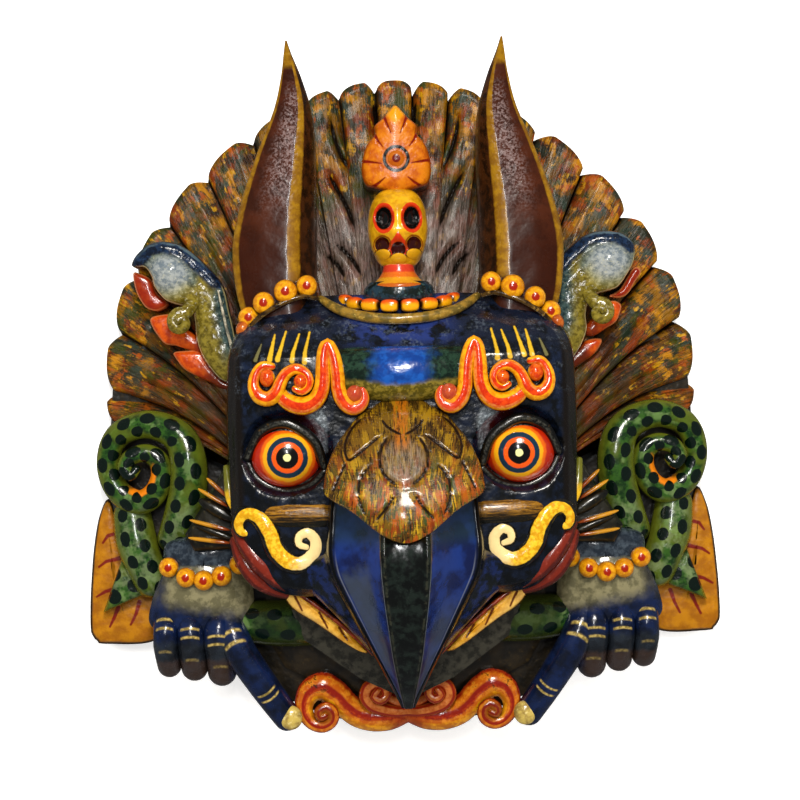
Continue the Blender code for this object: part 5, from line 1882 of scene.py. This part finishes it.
def earPaint():
    coat = Coat("earPaint")
    y = coat.y
    uneven = coat.uneven(6.0, 2)
    lobe = coat.attribute("lobe") + uneven * 0.18
    top = coat.attribute("top") + uneven * 2.0
    back = coat.attribute("back") + uneven * 4.0
    wearAndSheen = coat.noise(3.4, 4.0, 0.66)
    olive = mixed(wearAndSheen.ease(0.36, 0.64), "#4e430f", "#7d6f26")
    green = mixed(wearAndSheen.ease(0.38, 0.62), "#16282a", "#3f5250")
    silver = mixed(wearAndSheen.ease(0.36, 0.62), "#5e6a74", "#92989a")
    pale = mixed(wearAndSheen.ease(0.36, 0.64), "#6a6636", "#9a9468")
    dark = mixed(wearAndSheen.ease(0.4, 0.62), "#0a1220", "#182a44")
    coat.colour = mixed(back.ease(15, 6) * (y + uneven * 6).ease(12, 34), olive, green)
    coat.wash(lobe.ease(1.75, 1.2), pale)
    coat.wash((top - 14).ease(6, 0) * lobe.ease(1.9, 1.4) * 0.8, green)
    coat.wash(lobe.ease(1.55, 0.6) * 0.9, silver)
    # painted glints: pale flecks on the upper part of the ear
    glintFlecks = coat.noise(2.2, 3.0, 0.7).ease(0.58, 0.64) * y.ease(30, 60)
    coat.wash(glintFlecks * 0.35, "#b8b494")
    coat.wash(top.ease(9.6, 6.6), dark)
    coat.wash(top.ease(2.2, 1.2) * lobe.ease(2.2, 1.6) * 0.6, "#5a7078")
    coat.wash(coat.attribute("groove").ease(0.5, 0.95) * 0.7, "#0c0f10")
    rim = coat.attribute("rim")
    coat.wash(rim.ease(1.3, 0.9) * top.ease(4, 10), "#a89c6c")
    coat.wash(rim.ease(0.5, 0.3), "#20190c")
    return coat.finish(roughness=0.15, grain=0.8, grainSize=1.6)


def leafPaint():
    coat = Coat("earFeatherPaint")
    deep = coat.attribute("deep")
    coat.colour = coat.mottled(5.0, 0.36, 0.64, "#a03208", "#c4500c")
    coat.wash(coat.attribute("seed").ease(0.6, 0.4) * 0.75, "#6a0c06")
    # painted shadow: each feather darker towards its inner end, under the ear
    coat.wash(deep.ease(0.4, 0.95) * 0.85, "#240804")
    coat.wash(coat.attribute("rim").ease(1.1, 0.6) * deep.ease(0.6, 0.3), "#b8683a")
    return coat.finish(0.2, roughness=0.18, grain=0.5)


def curlLine(x, y):
    # the way into the curl of an ear and its turns, as x, y, z and half width
    line = [(x - 9.5, y + 14, 55, 3.6), (x - 5.4, y + 9.4, 59, 4.4)]
    for share in np.linspace(0, 1, 22):
        angle = math.radians(112 + (-320 - 112) * share)
        radius = 6.2 + (1.8 - 6.2) * share
        place = (x + radius * math.cos(angle), y + radius * math.sin(angle))
        line.append(place + (61 + (67 - 61) * share, 4.6 + (2.5 - 4.6) * share))
    return line


def addEar(shape, ear, side):
    start = len(shape.points)
    addPad(shape, ear["outline"], *ears["heights"], reach=11)

    def fromLobe(points):
        (x, y), (wide, tall) = ear["lobe"], ears["lobeReach"]
        return np.hypot((points[:, 0] - x) / wide, (points[:, 1] - y) / tall)

    points = shape.points[start:]
    raised = points[:, 2] > 50
    points[:, 2] += 5.5 * np.exp(-(fromLobe(points) ** 2)) * raised
    points[:, 2] -= 2.2 * np.exp(-((lineDistance(points, ear["valley"])[0] / 2.4) ** 2)) * raised
    addBand(shape, curlLine(*ear["curl"]), sides=26, rim=9.0)
    points = shape.points[start:]
    shape.mark("top", start, lineDistance(points, ear["top"])[0])
    shape.mark("back", start, lineDistance(points, ear["back"])[0])
    shape.mark("lobe", start, fromLobe(points))
    points[:, 0] *= side


def addLeaf(shape, outline, number, side):
    # the feathers below an ear; the first one is the reddest
    start = len(shape.points)
    addPad(shape, outline, 5, 46 + number, 49 + number, reach=5, seed=float(number > 0))
    points = shape.points[start:]
    first, last = np.array(outline[0]), np.array((118, 25 + 8 * (2 - number)))
    way = (last - first) / np.linalg.norm(last - first) ** 2
    # deep grows towards the inner end, where the ear's shadow is painted on
    shape.mark("deep", start, (points[:, :2] - first) @ way)
    points[:, 0] *= side


def makeEars():
    pads, lines, leaves = Shape(), Shape(), Shape()
    for side, ear in ((-1, ears["left"]), (1, ears["right"])):
        addEar(pads, ear, side)
        if ear["line"]:
            addBand(lines, ear["line"], sides=12).points[:, 0] *= side
        for number, outline in enumerate(ear["leaves"]):
            addLeaf(leaves, outline, number, side)
    pads.roughened(10, 0.3, 19).piece("ears", earPaint())
    lines.piece("earLines", plainPaint("earLinePaint", "#a8a08a", "#5a5a50", "#d8d0b8", roughness=0.16))
    leaves.piece("earFeathers", leafPaint())


repeatLumps = repeatGroup()
setCamera()
setStage()
print("stage ready")
wood = bareWood()
cutter = hollowCutter(wood)
makeHalo(featherPaint(), wood, cutter)
print("halo carved")
makeBoard(darkPaint("boardPaint", "#14110c", "#241d12", "#3c3018"), wood, cutter)
makeHead(headPaint(), cutter)
bpy.data.objects.remove(cutter, do_unlink=True)
makeForehead()
print("board and head carved")
makeBrows()
makeEyes()
makeBeak()
makeCere()
makeJaw()
print("face carved")
makeCheeks()
makeGills()
makeSnakes()
makeFins()
makeHands()
makeBeads()
makeChin()
print("snakes, hands and chin carved")
makeCrown()
makeSkull()
makeFlame()
makeHorns()
makeEars()
print("crown, horns and ears carved")
